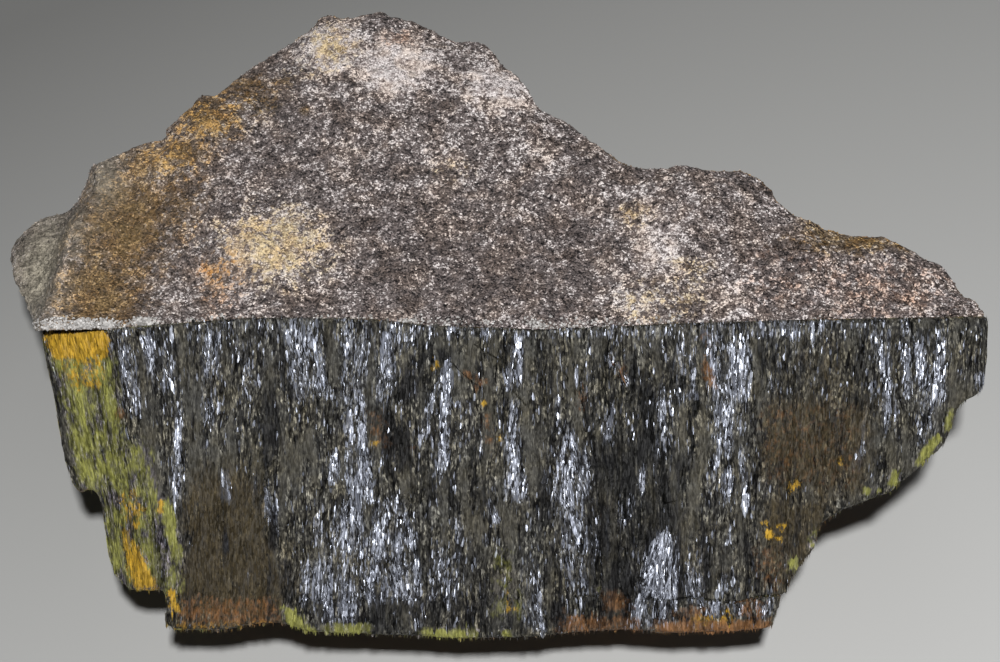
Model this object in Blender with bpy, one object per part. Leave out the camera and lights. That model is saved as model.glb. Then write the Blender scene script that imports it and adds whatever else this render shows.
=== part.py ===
# A hand specimen of goethite: a band of silky goethite needles that grew on granular rock.
# Run it with: blender --background --python part.py, or from Blender's text editor.
#
# Both stones are shaped in one slab frame, in millimetres. u runs along the ridge where they
# meet, v runs up the needles and on over the rock, and n points out of the needle face. The
# empty called specimen carries that frame: it stands RIDGE_HEIGHT above the base and is tipped
# back by FACE_SLOPE, so that the needle face leans and the rock lies behind it.

import math
import random

import bmesh
import bpy
from mathutils import Vector, noise
from mathutils.geometry import delaunay_2d_cdt

MM = 0.001

# Driving dimensions, in millimetres and degrees.
RIDGE_HEIGHT = 42.0      # from the sawn base up to the ridge
FACE_SLOPE = 30.0        # the needle face's slope from the horizontal
ROCK_FALL = 36.0         # how far the rock's top turns away from the needle face
CONTACT_GAP = 0.3        # between the rock and the goethite
RIM_STEP = 2.1           # longest side of a rim segment
SAW_MARGIN = 3.0         # how far the walls run below the base before they are sawn off
WALL_PROBE = 0.25        # step in which a wall's length is found
DEEPEST_WALL = 90.0      # longest wall
LAYER_GROWTH = 1.15      # over 1, the walls' layers grow thicker downwards
TEETH_DEPTH = 9.0        # over this depth the teeth of a rim fade into its wall
TEETH_SMOOTHING = 24     # rounds of averaging that smooth the teeth out
CUTTER_REACH, CUTTER_TOP = 90.0, 20.0   # how far a cutter runs past the stones, down and up
GOETHITE_LAYERS, ROCK_LAYERS = 11, 9
FACE_SQUEEZE = 3.0       # triangles of the needle face are about this much longer than wide
FACE_MARGIN, ROCK_MARGIN = 0.45, 1.0    # nearest that a point of the top comes to the rim

# The rim of the goethite as (u, v), from the top right corner down the right side, along the
# lower edge to the left and up the left side.
GOETHITE_RIM = [
    (60.25, 5), (60.25, 0.5), (60, -2.5), (59.75, -5.5), (59.5, -7.25), (58.25, -8.5),
    (56.5, -9.25), (55.75, -10.25), (55.25, -12.25), (54.25, -14.5), (51, -17.75),
    (48.75, -19.5), (48.25, -20.25), (45, -21.25), (42, -22.5), (39.5, -24), (39, -25.5),
    (38.5, -27.25), (36.75, -29.25), (35.5, -30.75), (35, -32.5), (34.25, -33), (34, -34.5),
    (33.25, -36.75), (32.5, -37), (27.25, -37.5), (20.5, -37.5), (13.75, -37.25),
    (6.5, -38), (2.25, -38.25), (-4.75, -38.25), (-15.5, -37.75), (-23.5, -37.5),
    (-24.75, -37), (-26.5, -36.5), (-30, -36.5), (-34.25, -37.25), (-39.75, -37.25),
    (-41, -36.5), (-40.75, -34.5), (-41, -32.25), (-45.75, -32.75), (-47.5, -31.25),
    (-48.5, -29), (-49.25, -22.5), (-49.75, -21), (-51, -20.25), (-52.25, -20.75),
    (-53.25, -19.75), (-54.5, -15.75), (-55.5, -9.75), (-56.5, -4.25), (-57, -1.5),
    (-57.25, 5),
]

# The rim of the rock as (u, v), from the lower left corner over the peak to the right end.
ROCK_RIM = [
    (-57.25, -5), (-57.75, -0.75), (-60, 1), (-62, 4), (-63.5, 6.25), (-64.25, 8),
    (-64.5, 10.25), (-63.5, 12.25), (-61.75, 13.75), (-60, 14.5), (-58, 14.75),
    (-55.25, 17), (-54, 17.75), (-54.25, 19.5), (-53.25, 21), (-50.75, 21.75),
    (-48.25, 23), (-46, 24), (-43.75, 24.5), (-44, 25.5), (-43.25, 26.5),
    (-41, 28.5), (-39.75, 30.5), (-37.75, 30.5), (-35, 33), (-32, 35.5), (-28.25, 38),
    (-26, 39.75), (-24, 42), (-20.25, 41.75), (-16.25, 43), (-14.75, 42), (-11.75, 41.25),
    (-8.75, 39.5), (-6, 38.25), (-3.25, 38.5), (-1.75, 37.75), (0, 35.25), (2.25, 33.5),
    (4, 30.75), (5.25, 28.75), (7.25, 27.75), (10.5, 25.25), (13.25, 23), (15, 21.25),
    (17.5, 20.25), (20.75, 20.25), (23.75, 21), (26.75, 20), (31, 20), (33.25, 19),
    (35, 17.25), (35.25, 16), (37.5, 14), (39.5, 13.5), (41.25, 12), (43.75, 11.25),
    (48.25, 11.25), (50.75, 10.25), (53.5, 8.5), (55.25, 7.75), (56.5, 5.75), (57.5, 3.75),
    (59, 3), (60.25, 0.5), (60.5, -5),
]

# The contact as (u, v): nearly straight, a little wavy.
CONTACT_LINE = [
    (-66, -0.75), (-48, -0.5), (-42, 0), (-30.5, 0.85), (-16, 0.75), (-8.5, -0.1),
    (5, -0.5), (14.5, -0.1), (24.5, 0.25), (36.5, 0.6), (49, 0.85), (64, 1.1),
]

# Needle face.
LEAN_LEFT = (0.18, -36, -52)    # sideways run of a needle per mm of length: most, and the u
LEAN_RIGHT = (-0.06, 15, 60)    #   where it starts and where it is full
BUNDLES_FROM, BUNDLES_TO = -62.0, 64.0
BUNDLE_WIDTHS = (2.0, 6.0)      # thinnest and thickest bundle of needles, at the ridge
NARROWEST_FOOT = 0.7            # least width of a bundle at its lower end
BUNDLE_FAN = 1.3                # sideways run of a bundle's edge down the face, at most
BUNDLE_STEP = 0.35              # how far a bundle stands proud of its neighbour, at most
BUNDLE_PITCH = 0.5              # how far a bundle's face rises or sinks down its length, at most
BUNDLE_CREST = (-0.2, 0.45)     # how far its middle stands over its edges
BUNDLE_TWIST = 0.35             # how far one edge stands over the other, at most
SNAPPED_SHARE = 0.45            # share of the bundles that have snapped
SNAP_FROM, SNAP_TO = -28, -6    # the v between which bundles have snapped
SNAP_DROP = 0.8                 # drop of the face where a bundle has snapped, at most
SNAP_POINT = 4.0                # a snapped end is a point of this length
SNAP_RUN = 1.3                  # length of the drop
EDGE_SHARE = 0.04               # share of a bundle's width from its edge to the nearest points
FACE_ROWS = 9                   # rows of points up the needle face
TOP_ROW_V = 2.5                 # the highest row, just past the contact
FACE_FOOT_V = -38.0             # the needles' lower ends
PARTING_V = -33.3               # the parting between the two growths of needles
PARTING_WAVE = (0.3, 0.33)      # its waves' height, and how many radians they turn for each mm
PARTING_DEPTHS = (0.25, 1.0)    # its depth left of PARTING_DEEPENS and right of it
PARTING_DEEPENS = (-10, 20)
PARTING_HALF_WIDTH = 0.3
PARTING_ROW = 0.35              # from the parting to the rows of points beside it
FACE_SWELL = (0.9, 0.05, 0.03)  # the face's broad swells: height, and turns per mm in u and v
RIGHT_EDGE_U, RIGHT_CURL = 57.5, 0.35   # right of this u the face curls down
OCHRE_EDGE_U = -46.5            # left of this an older, ochre-coated joint slopes away
OCHRE_SLOPE = 0.5
SEED = 11

# The goethite's sides.
WALL_SETTLES = 7.0                      # depth over which a wall's own swells set in
GOETHITE_NARROWING = (0.0024, 0.0035)   # share by which it narrows per mm down, in u and v
GOETHITE_SWELL = 1.7
BUBBLE_SIZE, BUBBLE_RISE = 9.0, 1.5     # the bubbles of its outer skin

# Gouges between needles: (u at the top, u at the bottom, top v, bottom v, width, depth).
GOUGES = [
    (-29.0, -27.3, -18.0, -27.8, 1.3, 1.5),
    (-34.8, -33.2, -21.0, -27.3, 1.1, 1.2),
    (-39.6, -38.9, -11.8, -22.5, 0.9, 0.9),
    (-7.8, -8.6, -4.2, -9.5, 2.2, 1.0),
    (29.0, 28.0, -14.0, -21.0, 1.6, 0.9),
    (18.5, 17.0, -21.5, -31.0, 2.0, 0.8),
]

# Flat cleavage faces that stand proud: (u, top v, bottom v, top width, bottom width, rise).
CLEAVAGE_FACES = [
    (19.4, -25.6, -33.0, 2.2, 5.4, 0.7),
    (-13.2, -22.0, -29.0, 4.2, 5.2, 0.6),
    (-4.6, -4.8, -13.0, 0.8, 3.6, 0.6),
    (-16.4, -6.0, -19.0, 1.6, 3.0, 0.5),
]

# Rock.
ROCK_GRID = 2.1                 # spacing of the points on the rock's top
ROCK_ROW_SHARE = 0.9            # spacing of the rows as a share of that
ROCK_JITTER = 0.35
ROCK_NARROWING = (0.0026, 0.0133)       # share by which it narrows per mm down, in u and v
ROCK_WALL_SWELLS = ((0.085, 3.6), (0.24, 1.1))      # turns per mm and height of the walls' swells
ROCK_TOP_SWELLS = (((0.11, 0.13, 3), 0.8), ((0.35, 0.4, 9), 0.45))  # turns and place, and height
FLANK_TOP = (-56.5, 0.2)        # u of the left flank's upper edge at the ridge, and its lean
FLANK_RUN, FLANK_DROP = 3.5, 11.0
FLANK_SLOPE = 0.35
RIM_ROUNDING = (2.2, 1.3)       # the rock's rim is rounded over this width, by this depth

# Swells and hollows of the rock's top: (u, v, radius in u, radius in v, height).
ROCK_SWELLS = [
    (-49, 9, 8, 12, -2.2), (-35, 5, 7, 4.5, -1.1), (-27, 9, 8, 6, 0.9), (-20, 36, 9, 6, 1.2),
    (-2, 29, 10, 7, 0.9), (8, 12, 12, 8, -0.8), (22, 14, 9, 6, 1.1), (47, 5, 9, 4.5, -0.6),
    (-38, 20, 7, 6, 0.8), (-8, 4, 10, 3, -0.5),
]

# Ledges of the rock's top, each a crack with the far side standing proud:
# (u from, u to, v from, v to, height of the step).
LEDGE_STRIDE = 1.0
ROCK_LEDGES = [
    (23.5, 40.5, 12.6, 9.2, 1.1),
    (-28.5, -18.0, 23.4, 24.8, 0.5),
    (0.5, 14.0, 14.6, 16.4, 0.4),
]


def smooth_step(low, high, value):
    """0 below low, 1 above high, and a smooth rise between."""
    share = max(0.0, min(1.0, (value - low) / (high - low)))
    return share * share * (3 - 2 * share)


def polyline_value(line, u):
    """The v of a polyline of (u, v) points at u."""
    for (u0, v0), (u1, v1) in zip(line, line[1:]):
        if u <= u1:
            return v0 + (v1 - v0) * (u - u0) / (u1 - u0)
    return line[-1][1]


def height_over_base(u, v, n):
    slope = math.radians(FACE_SLOPE)
    return RIDGE_HEIGHT + v * math.sin(slope) + n * math.cos(slope)


# ---- The shape of the needle face ---------------------------------------------------------

def needle_lean(u):
    """Sideways run of a needle for each millimetre down it: the outer ones fan inwards."""
    lean = 0.0
    for most, start, full in (LEAN_LEFT, LEAN_RIGHT):
        lean += most * smooth_step(start, full, u)
    return lean


def parting_v(u):
    height, turn = PARTING_WAVE
    return PARTING_V + height * math.sin(turn * u)


def make_bundles():
    """Bundles of needles from left to right: long wedges, each with facets of its own."""
    draw = random.Random(SEED)
    bundles, edge, fan = [], BUNDLES_FROM, 0.0
    while edge < BUNDLES_TO:
        width = draw.uniform(*BUNDLE_WIDTHS)
        next_fan = draw.uniform(-BUNDLE_FAN, BUNDLE_FAN)
        next_fan = max(next_fan, fan + NARROWEST_FOOT - width)
        bundles.append({
            "left": edge,
            "left_fan": fan,
            "right": edge + width,
            "right_fan": next_fan,
            "proud": draw.uniform(-BUNDLE_STEP, BUNDLE_STEP),
            "pitch": draw.uniform(-BUNDLE_PITCH, BUNDLE_PITCH),
            "crest": draw.uniform(*BUNDLE_CREST),
            "twist": draw.uniform(-BUNDLE_TWIST, BUNDLE_TWIST),
            "snap_v": draw.uniform(SNAP_FROM, SNAP_TO),
            "snap_drop": draw.uniform(0.3, 1) * SNAP_DROP * (draw.random() < SNAPPED_SHARE),
        })
        edge, fan = edge + width, next_fan
    return bundles


BUNDLES = make_bundles()


def bundle_edges(bundle, v):
    down = v / FACE_FOOT_V
    return bundle["left"] + bundle["left_fan"] * down, bundle["right"] + bundle["right_fan"] * down


def snap_line(bundle, share):
    """The v where a snapped bundle ends, at this share of its width: a point in the middle."""
    return bundle["snap_v"] - SNAP_POINT * abs(2 * share - 1)


def bundle_relief(u, v):
    across = u + needle_lean(u) * v
    bundle = next((b for b in BUNDLES if across < bundle_edges(b, v)[1]), BUNDLES[-1])
    left, right = bundle_edges(bundle, v)
    share = (across - left) / (right - left)
    relief = bundle["proud"] + bundle["pitch"] * (v / FACE_FOOT_V - 0.5)
    relief += bundle["crest"] * (1 - abs(2 * share - 1)) + bundle["twist"] * (share - 0.5)
    snap_v = snap_line(bundle, share)
    return relief - bundle["snap_drop"] * smooth_step(snap_v, snap_v - SNAP_RUN, v)


def gouge_relief(u, v):
    depth = 0.0
    for u_top, u_bottom, v_top, v_bottom, width, deep in GOUGES:
        along = (v - v_top) / (v_bottom - v_top)
        if 0 < along < 1:
            off = abs(u - (u_top + (u_bottom - u_top) * along)) / (width / 2)
            depth = max(depth, deep * max(0.0, 1 - off) * math.sin(math.pi * along) ** 0.5)
    return -depth


def cleavage_relief(u, v, base):
    """The flat proud faces replace the bundles' relief inside their outline."""
    for u_mid, v_top, v_bottom, width_top, width_bottom, rise in CLEAVAGE_FACES:
        along = (v - v_top) / (v_bottom - v_top)
        half = (width_top + (width_bottom - width_top) * along) / 2
        if 0 <= along <= 1 and abs(u - u_mid) <= half:
            return rise * (0.35 + 0.65 * along)
    return base


def needle_face(u, v):
    """Height n of the needle face."""
    swell, turns_u, turns_v = FACE_SWELL
    relief = bundle_relief(u, v) + swell * noise.noise(Vector((u * turns_u, v * turns_v, 7)))
    relief = cleavage_relief(u, v, relief) + gouge_relief(u, v)
    relief *= smooth_step(1.5, -1.5, v)     # the stones meet level
    shallow, deep = PARTING_DEPTHS
    parting = shallow + (deep - shallow) * smooth_step(*PARTING_DEEPENS, u)
    parting *= max(0.0, 1 - abs(v - parting_v(u)) / PARTING_HALF_WIDTH)
    across = u + needle_lean(u) * v
    ochre = OCHRE_SLOPE * max(0.0, OCHRE_EDGE_U - across)
    curl = RIGHT_CURL * max(0.0, u - RIGHT_EDGE_U) ** 2
    return relief - parting - ochre - curl


def needle_face_points():
    """Points on the face: three lines along each bundle, with more points at its snapped end."""
    spacing = (PARTING_V + 1.0 - TOP_ROW_V) / FACE_ROWS
    levels = [TOP_ROW_V + spacing * row for row in range(FACE_ROWS + 1)]
    points = []
    for bundle in BUNDLES:
        for share in (EDGE_SHARE, 0.5, 1 - EDGE_SHARE):
            snap = [snap_line(bundle, share) + 0.05, snap_line(bundle, share) - SNAP_RUN]
            if not bundle["snap_drop"]:
                snap = []
            rows = [v for v in levels if all(abs(v - s) > 0.9 for s in snap)] + snap
            rows += [PARTING_V + PARTING_ROW, PARTING_V, PARTING_V - PARTING_ROW, PARTING_V - 2.4]
            for v in rows:
                left, right = bundle_edges(bundle, v)
                across = left + (right - left) * share
                u = across - needle_lean(across) * v
                wave = parting_v(u) - PARTING_V if v <= PARTING_V + PARTING_ROW else 0.0
                points.append((u, v + wave))
    for u_top, u_bottom, v_top, v_bottom, width, _ in GOUGES:
        for share in (0.05, 0.3, 0.6, 0.95):
            u = u_top + (u_bottom - u_top) * share
            v = v_top + (v_bottom - v_top) * share
            points += [(u - width / 2, v), (u, v), (u + width / 2, v)]
    for u_mid, v_top, v_bottom, width_top, width_bottom, _ in CLEAVAGE_FACES:
        for v, half in ((v_top, width_top / 2), (v_bottom, width_bottom / 2)):
            for margin in (-0.1, 0.1):
                points += [(u_mid - half + margin, v), (u_mid + half + margin, v)]
    return points


def goethite_wall(u, v, n, depth):
    """The goethite's sides narrow downwards; its outer skin has the swells of a botryoidal crust."""
    grown = smooth_step(0, WALL_SETTLES, depth)
    narrow_u = u * (1 - GOETHITE_NARROWING[0] * depth)
    narrow_v = v * (1 - GOETHITE_NARROWING[1] * depth)
    at = Vector((narrow_u * 0.16, narrow_v * 0.03, (n - depth) * 0.16))
    shift = noise.noise_vector(at) * GOETHITE_SWELL * grown
    bubble = noise.voronoi(Vector((narrow_u, 0, n - depth)) / BUBBLE_SIZE)[0][0]
    skin = BUBBLE_RISE * grown * smooth_step(-28, -36, v) * (1 - min(1.0, bubble) ** 2)
    return narrow_u + shift.x, narrow_v + shift.y * 0.5 - skin


# ---- The shape of the rock ----------------------------------------------------------------

def flank_drop(u, v):
    edge, lean = FLANK_TOP
    beyond = edge + lean * v - u
    return FLANK_DROP * smooth_step(0, FLANK_RUN, beyond) + FLANK_SLOPE * max(0.0, beyond - FLANK_RUN)


def ledge_rise(u, v):
    rise = 0.0
    for u_from, u_to, v_from, v_to, step in ROCK_LEDGES:
        along = (u - u_from) / (u_to - u_from)
        if -0.1 < along < 1.1:
            crack = v_from + (v_to - v_from) * along
            fade = smooth_step(-0.1, 0.25, along) * smooth_step(1.1, 0.85, along)
            above = smooth_step(crack - 0.35, crack + 0.35, v) * smooth_step(crack + 8, crack + 2, v)
            rise += step * fade * above
    return rise


def rock_swell(u, v):
    rise = 0.0
    for u_mid, v_mid, run_u, run_v, height in ROCK_SWELLS:
        off = ((u - u_mid) / run_u) ** 2 + ((v - v_mid) / run_v) ** 2
        rise += height * math.exp(-off)
    for (turns_u, turns_v, place), height in ROCK_TOP_SWELLS:
        rise += height * noise.noise(Vector((u * turns_u, v * turns_v, place)))
    return rise


def distance_to_rim(u, v, rim):
    """Distance to the rim's polyline, whose closing side lies on the contact and isn't counted."""
    nearest = math.inf
    for (u0, v0), (u1, v1) in zip(rim, rim[1:]):
        side_u, side_v = u1 - u0, v1 - v0
        share = ((u - u0) * side_u + (v - v0) * side_v) / (side_u**2 + side_v**2)
        share = max(0.0, min(1.0, share))
        nearest = min(nearest, math.hypot(u - u0 - side_u * share, v - v0 - side_v * share))
    return nearest


def rock_top(u, v):
    """Height n of the rock's top, which turns back from the ridge."""
    over_contact = v - polyline_value(CONTACT_LINE, u)
    fall = math.tan(math.radians(ROCK_FALL)) * v
    away = smooth_step(0, 3, over_contact)
    width, depth = RIM_ROUNDING
    rounding = depth * (1 - smooth_step(0, width, distance_to_rim(u, v, ROCK_RIM)))
    return (rock_swell(u, v) * away + ledge_rise(u, v) - fall - flank_drop(u, v)
            - rounding * smooth_step(0, 4, over_contact))


def rock_top_points():
    """A jittered grid of points, and close pairs of rows along the ledges."""
    draw = random.Random(SEED)
    points = []
    left, foot, right, peak = -66, -5, 68, 44
    row_step = ROCK_GRID * ROCK_ROW_SHARE
    for row in range(math.ceil((peak - foot) / row_step)):
        for column in range(math.ceil((right - left) / ROCK_GRID)):
            u = left + (column + 0.5 * (row % 2)) * ROCK_GRID + draw.uniform(-ROCK_JITTER, ROCK_JITTER)
            v = foot + row * row_step + draw.uniform(-ROCK_JITTER, ROCK_JITTER)
            points.append((u, v))
    for u_from, u_to, v_from, v_to, _ in ROCK_LEDGES:
        points = [p for p in points if not (
            u_from - 1 < p[0] < u_to + 1
            and abs(p[1] - v_from - (v_to - v_from) * (p[0] - u_from) / (u_to - u_from)) < 1.3)]
        steps = round((u_to - u_from) / LEDGE_STRIDE)
        for step in range(steps + 1):
            share = step / steps
            u, v = u_from + (u_to - u_from) * share, v_from + (v_to - v_from) * share
            points += [(u, v - 0.4), (u, v + 0.4)]
    return points


def rock_wall(u, v, n, depth):
    """The rock's back falls almost plumb, and its broken sides swell and narrow."""
    narrow_u = u * (1 - ROCK_NARROWING[0] * depth)
    narrow_v = v * (1 - ROCK_NARROWING[1] * depth)
    at = Vector((narrow_u, narrow_v, n - depth))
    shift = Vector((0, 0, 0))
    for turns, height in ROCK_WALL_SWELLS:
        shift += noise.noise_vector(at * turns) * height
    shift *= smooth_step(0, WALL_SETTLES, depth)
    return narrow_u + shift.x, narrow_v + shift.y


# ---- Building the solids ------------------------------------------------------------------

def split_sides(rim, step):
    """The rim with its long sides split, as a closed ring of points."""
    ring = []
    for (u0, v0), (u1, v1) in zip(rim, rim[1:] + rim[:1]):
        parts = max(1, math.ceil(math.hypot(u1 - u0, v1 - v0) / step))
        ring += [(u0 + (u1 - u0) * i / parts, v0 + (v1 - v0) * i / parts) for i in range(parts)]
    return ring


def inside(point, ring):
    u, v = point
    within = False
    for (u0, v0), (u1, v1) in zip(ring, ring[1:] + ring[:1]):
        if (v0 > v) != (v1 > v) and u < u0 + (u1 - u0) * (v - v0) / (v1 - v0):
            within = not within
    return within


def cap_shape(rim, points, top, squeeze, margin):
    """The top surface: a triangulation of the rim and the points inside it, raised by top(u, v).

    squeeze shrinks v while triangulating, so that triangles come out long up the needles.
    """
    ring = split_sides(rim, RIM_STEP)
    kept = [p for p in points if inside(p, ring) and distance_to_rim(*p, ring) > margin]
    flat = [Vector((u, v / squeeze)) for u, v in ring + kept]
    sides = [(i, (i + 1) % len(ring)) for i in range(len(ring))]
    corners, _, faces, _, _, _ = delaunay_2d_cdt(flat, sides, [], 1, 1e-4)
    shape = bmesh.new()
    raised = [shape.verts.new((u, v * squeeze, top(u, v * squeeze))) for u, v in corners]
    for face in faces:
        shape.faces.new([raised[i] for i in face])
    return shape


def settled_rim(shape):
    """Each rim point and where it comes to rest once the rim's small teeth are smoothed out."""
    settled = {corner: corner.co.copy() for corner in shape.verts if corner.is_boundary}
    for _ in range(TEETH_SMOOTHING):
        averages = {}
        for corner, place in settled.items():
            beside = [e.other_vert(corner) for e in corner.link_edges if e.is_boundary]
            averages[corner] = (place * 2 + settled[beside[0]] + settled[beside[1]]) / 4
        settled = averages
    return {corner: (corner.co.copy(), place) for corner, place in settled.items()}


def wall_place(start, settled, wall, depth):
    """The point of the wall at this depth below a rim point; the rim's teeth fade downwards."""
    place = start.lerp(settled, smooth_step(0, TEETH_DEPTH, depth))
    u, v = wall(place.x, place.y, start.z, depth)
    return Vector((u, v, start.z - depth))


def wall_depth(start, settled, wall):
    """How far along -n the wall below this rim point runs to end SAW_MARGIN under the base."""
    depth = 0.0
    while depth < DEEPEST_WALL:
        if height_over_base(*wall_place(start, settled, wall, depth)) < -SAW_MARGIN:
            break
        depth += WALL_PROBE
    return depth


def drop_walls(shape, wall, layers):
    """Extrudes the rim down in layers that follow wall(), to below the base, and closes it."""
    above = {corner: (*places, wall_depth(*places, wall))
             for corner, places in settled_rim(shape).items()}
    edges = [edge for edge in shape.edges if edge.is_boundary]
    for layer in range(1, layers + 1):
        made = bmesh.ops.extrude_edge_only(shape, edges=edges)["geom"]
        below = {}
        for corner in made:
            if not isinstance(corner, bmesh.types.BMVert):
                continue
            start, settled, depth = next(
                above[e.other_vert(corner)] for e in corner.link_edges
                if e.other_vert(corner) in above)
            corner.co = wall_place(start, settled, wall, depth * (layer / layers) ** LAYER_GROWTH)
            below[corner] = (start, settled, depth)
        above = below
        edges = [e for e in made if isinstance(e, bmesh.types.BMEdge) and e.is_boundary]
    bmesh.ops.contextual_create(shape, geom=edges)


def saw_base(shape):
    """Cuts the shape flat where the slab frame meets the base."""
    slope = math.radians(FACE_SLOPE)
    bmesh.ops.bisect_plane(
        shape,
        geom=[*shape.verts, *shape.edges, *shape.faces],
        plane_co=(0, 0, -RIDGE_HEIGHT / math.cos(slope)),
        plane_no=(0, -math.sin(slope), -math.cos(slope)),
        clear_outer=True,
    )
    bmesh.ops.holes_fill(shape, edges=[edge for edge in shape.edges if edge.is_boundary])


def finish_object(name, shape, collection):
    """Turns the shape, in millimetres, into an object in metres."""
    bmesh.ops.recalc_face_normals(shape, faces=shape.faces)
    bmesh.ops.scale(shape, vec=(MM, MM, MM), verts=shape.verts)
    mesh = bpy.data.meshes.new(name)
    shape.to_mesh(mesh)
    shape.free()
    made = bpy.data.objects.new(name, mesh)
    collection.objects.link(made)
    return made


def contact_cutter(name, side, collection):
    """A block with the contact's wavy line as one face: side is 1 above the contact, -1 below."""
    line = [(u, v - side * CONTACT_GAP / 2) for u, v in CONTACT_LINE]
    far = side * CUTTER_REACH
    shape = bmesh.new()
    corners = [shape.verts.new((u, v, -CUTTER_REACH)) for u, v in line]
    corners += [shape.verts.new((u, far, -CUTTER_REACH)) for u in (line[-1][0], line[0][0])]
    outline = shape.faces.new(corners)
    walls = bmesh.ops.extrude_face_region(shape, geom=[outline])["geom"]
    raised = [item for item in walls if isinstance(item, bmesh.types.BMVert)]
    bmesh.ops.translate(shape, vec=(0, 0, CUTTER_REACH + CUTTER_TOP), verts=raised)
    cutter = finish_object(name, shape, collection)
    cutter.hide_render = True
    cutter.display_type = "WIRE"
    return cutter


def make_goethite(collection):
    shape = cap_shape(GOETHITE_RIM, needle_face_points(), needle_face, FACE_SQUEEZE, FACE_MARGIN)
    drop_walls(shape, goethite_wall, GOETHITE_LAYERS)
    saw_base(shape)
    return finish_object("goethite_needles", shape, collection)


def make_rock(collection):
    shape = cap_shape(ROCK_RIM, rock_top_points(), rock_top, 1.0, ROCK_MARGIN)
    drop_walls(shape, rock_wall, ROCK_LAYERS)
    saw_base(shape)
    return finish_object("matrix_rock", shape, collection)


def cut_with(stone, cutter):
    cut = stone.modifiers.new("contact", "BOOLEAN")
    cut.operation = "DIFFERENCE"
    cut.object = cutter


def make_material(name, colour, roughness, metallic):
    material = bpy.data.materials.new(name)
    material.use_nodes = True
    shader = material.node_tree.nodes["Principled BSDF"]
    shader.inputs["Base Color"].default_value = (*colour, 1)
    shader.inputs["Roughness"].default_value = roughness
    shader.inputs["Metallic"].default_value = metallic
    material.diffuse_color = (*colour, 1)
    return material


def stand_at_origin(carrier, stones):
    """Moves the empty that carries the stones so that their box stands centred on the origin."""
    bpy.context.view_layer.update()
    graph = bpy.context.evaluated_depsgraph_get()
    corners = []
    for stone in stones:
        evaluated = stone.evaluated_get(graph)
        corners += [evaluated.matrix_world @ v.co for v in evaluated.data.vertices]
    for axis in (0, 1):
        low, high = min(c[axis] for c in corners), max(c[axis] for c in corners)
        carrier.location[axis] -= (low + high) / 2
    print("ridge middle at", [round(c, 6) for c in carrier.location])


def main():
    for old in list(bpy.data.objects):
        bpy.data.objects.remove(old)
    noise.seed_set(SEED)     # noise_vector differs from run to run without it
    specimen = bpy.data.collections.new("goethite_specimen")
    cutters = bpy.data.collections.new("cutters")
    for collection in (specimen, cutters):
        bpy.context.scene.collection.children.link(collection)

    carrier = bpy.data.objects.new("specimen", None)
    carrier.location = (0, 0, RIDGE_HEIGHT * MM)
    carrier.rotation_euler = (math.radians(FACE_SLOPE), 0, 0)
    specimen.objects.link(carrier)

    goethite = make_goethite(specimen)
    rock = make_rock(specimen)
    above = contact_cutter("cutter_above_contact", 1, cutters)
    below = contact_cutter("cutter_below_contact", -1, cutters)
    for item in (goethite, rock, above, below):
        item.parent = carrier
    # Each cutter reaches half the gap past the contact, into the stone that it trims.
    cut_with(goethite, above)
    cut_with(rock, below)
    goethite.data.materials.append(make_material("goethite", (0.055, 0.055, 0.06), 0.35, 0.4))
    rock.data.materials.append(make_material("matrix_rock", (0.16, 0.125, 0.11), 0.85, 0.0))
    stand_at_origin(carrier, [goethite, rock])


main()
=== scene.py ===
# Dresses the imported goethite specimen: silky needles, granular rock, crusts and stains.
# Blender's own lengths are metres. Places on the stones are given in millimetres in the slab
# frame that the solids were shaped in: u runs along the ridge where the stones meet, v up the
# needles and on over the rock, and n out of the needle face.
import math

import bmesh
import bpy
import numpy as np
from mathutils import Matrix, Vector, noise
from mathutils.bvhtree import BVHTree


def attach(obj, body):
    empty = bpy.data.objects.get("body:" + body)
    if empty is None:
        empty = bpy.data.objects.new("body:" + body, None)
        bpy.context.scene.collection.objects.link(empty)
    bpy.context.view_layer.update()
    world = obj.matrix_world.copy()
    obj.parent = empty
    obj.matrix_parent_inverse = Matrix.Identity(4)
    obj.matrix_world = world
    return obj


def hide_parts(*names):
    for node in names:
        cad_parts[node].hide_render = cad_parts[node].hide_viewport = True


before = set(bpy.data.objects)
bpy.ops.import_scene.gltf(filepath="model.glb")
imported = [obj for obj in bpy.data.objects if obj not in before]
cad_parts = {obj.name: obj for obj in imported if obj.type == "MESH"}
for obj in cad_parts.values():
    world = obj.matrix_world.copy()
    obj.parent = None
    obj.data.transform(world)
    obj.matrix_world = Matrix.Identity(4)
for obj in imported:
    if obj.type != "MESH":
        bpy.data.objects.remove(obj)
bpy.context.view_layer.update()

mm = 0.001          # a millimetre in metres
perMetre = 1000     # millimetres in a metre

slab = {
    "ridgeMiddle": (0.002125, -0.010101, 0.042),
    "faceSlope": 30.0,
    "sawnBelow": 0.25,          # height of the sawn base's edge
    "contactFacing": 0.8,       # how squarely the contact of the two stones looks along v
    "contactReach": 1.6,        # how far it strays from the ridge
    "contactGrow": 0.2,         # how far each stone grows there, to close the gap
}
slabToWorld = (Matrix.Translation(slab["ridgeMiddle"])
               @ Matrix.Rotation(math.radians(slab["faceSlope"]), 4, "X")
               @ Matrix.Scale(mm, 4))
slabAxes = np.array(slabToWorld.to_3x3().normalized())      # columns are u, v and n in the world


def linkObject(name, mesh):
    made = bpy.data.objects.new(name, mesh)
    bpy.context.scene.collection.objects.link(made)
    return made


def plainMesh(piece, name):
    # the piece with its modifiers applied, as a mesh of its own
    graph = bpy.context.evaluated_depsgraph_get()
    mesh = bpy.data.meshes.new_from_object(piece.evaluated_get(graph))
    mesh.name = name
    return mesh


def readVectors(mesh, key):
    values = np.empty(len(mesh.vertices) * 3)
    mesh.vertices.foreach_get(key, values)
    return values.reshape(-1, 3)


def vertexPlaces(mesh):
    # the vertices in the slab frame, in millimetres
    return (readVectors(mesh, "co") - np.array(slab["ridgeMiddle"])) @ slabAxes * perMetre


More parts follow.
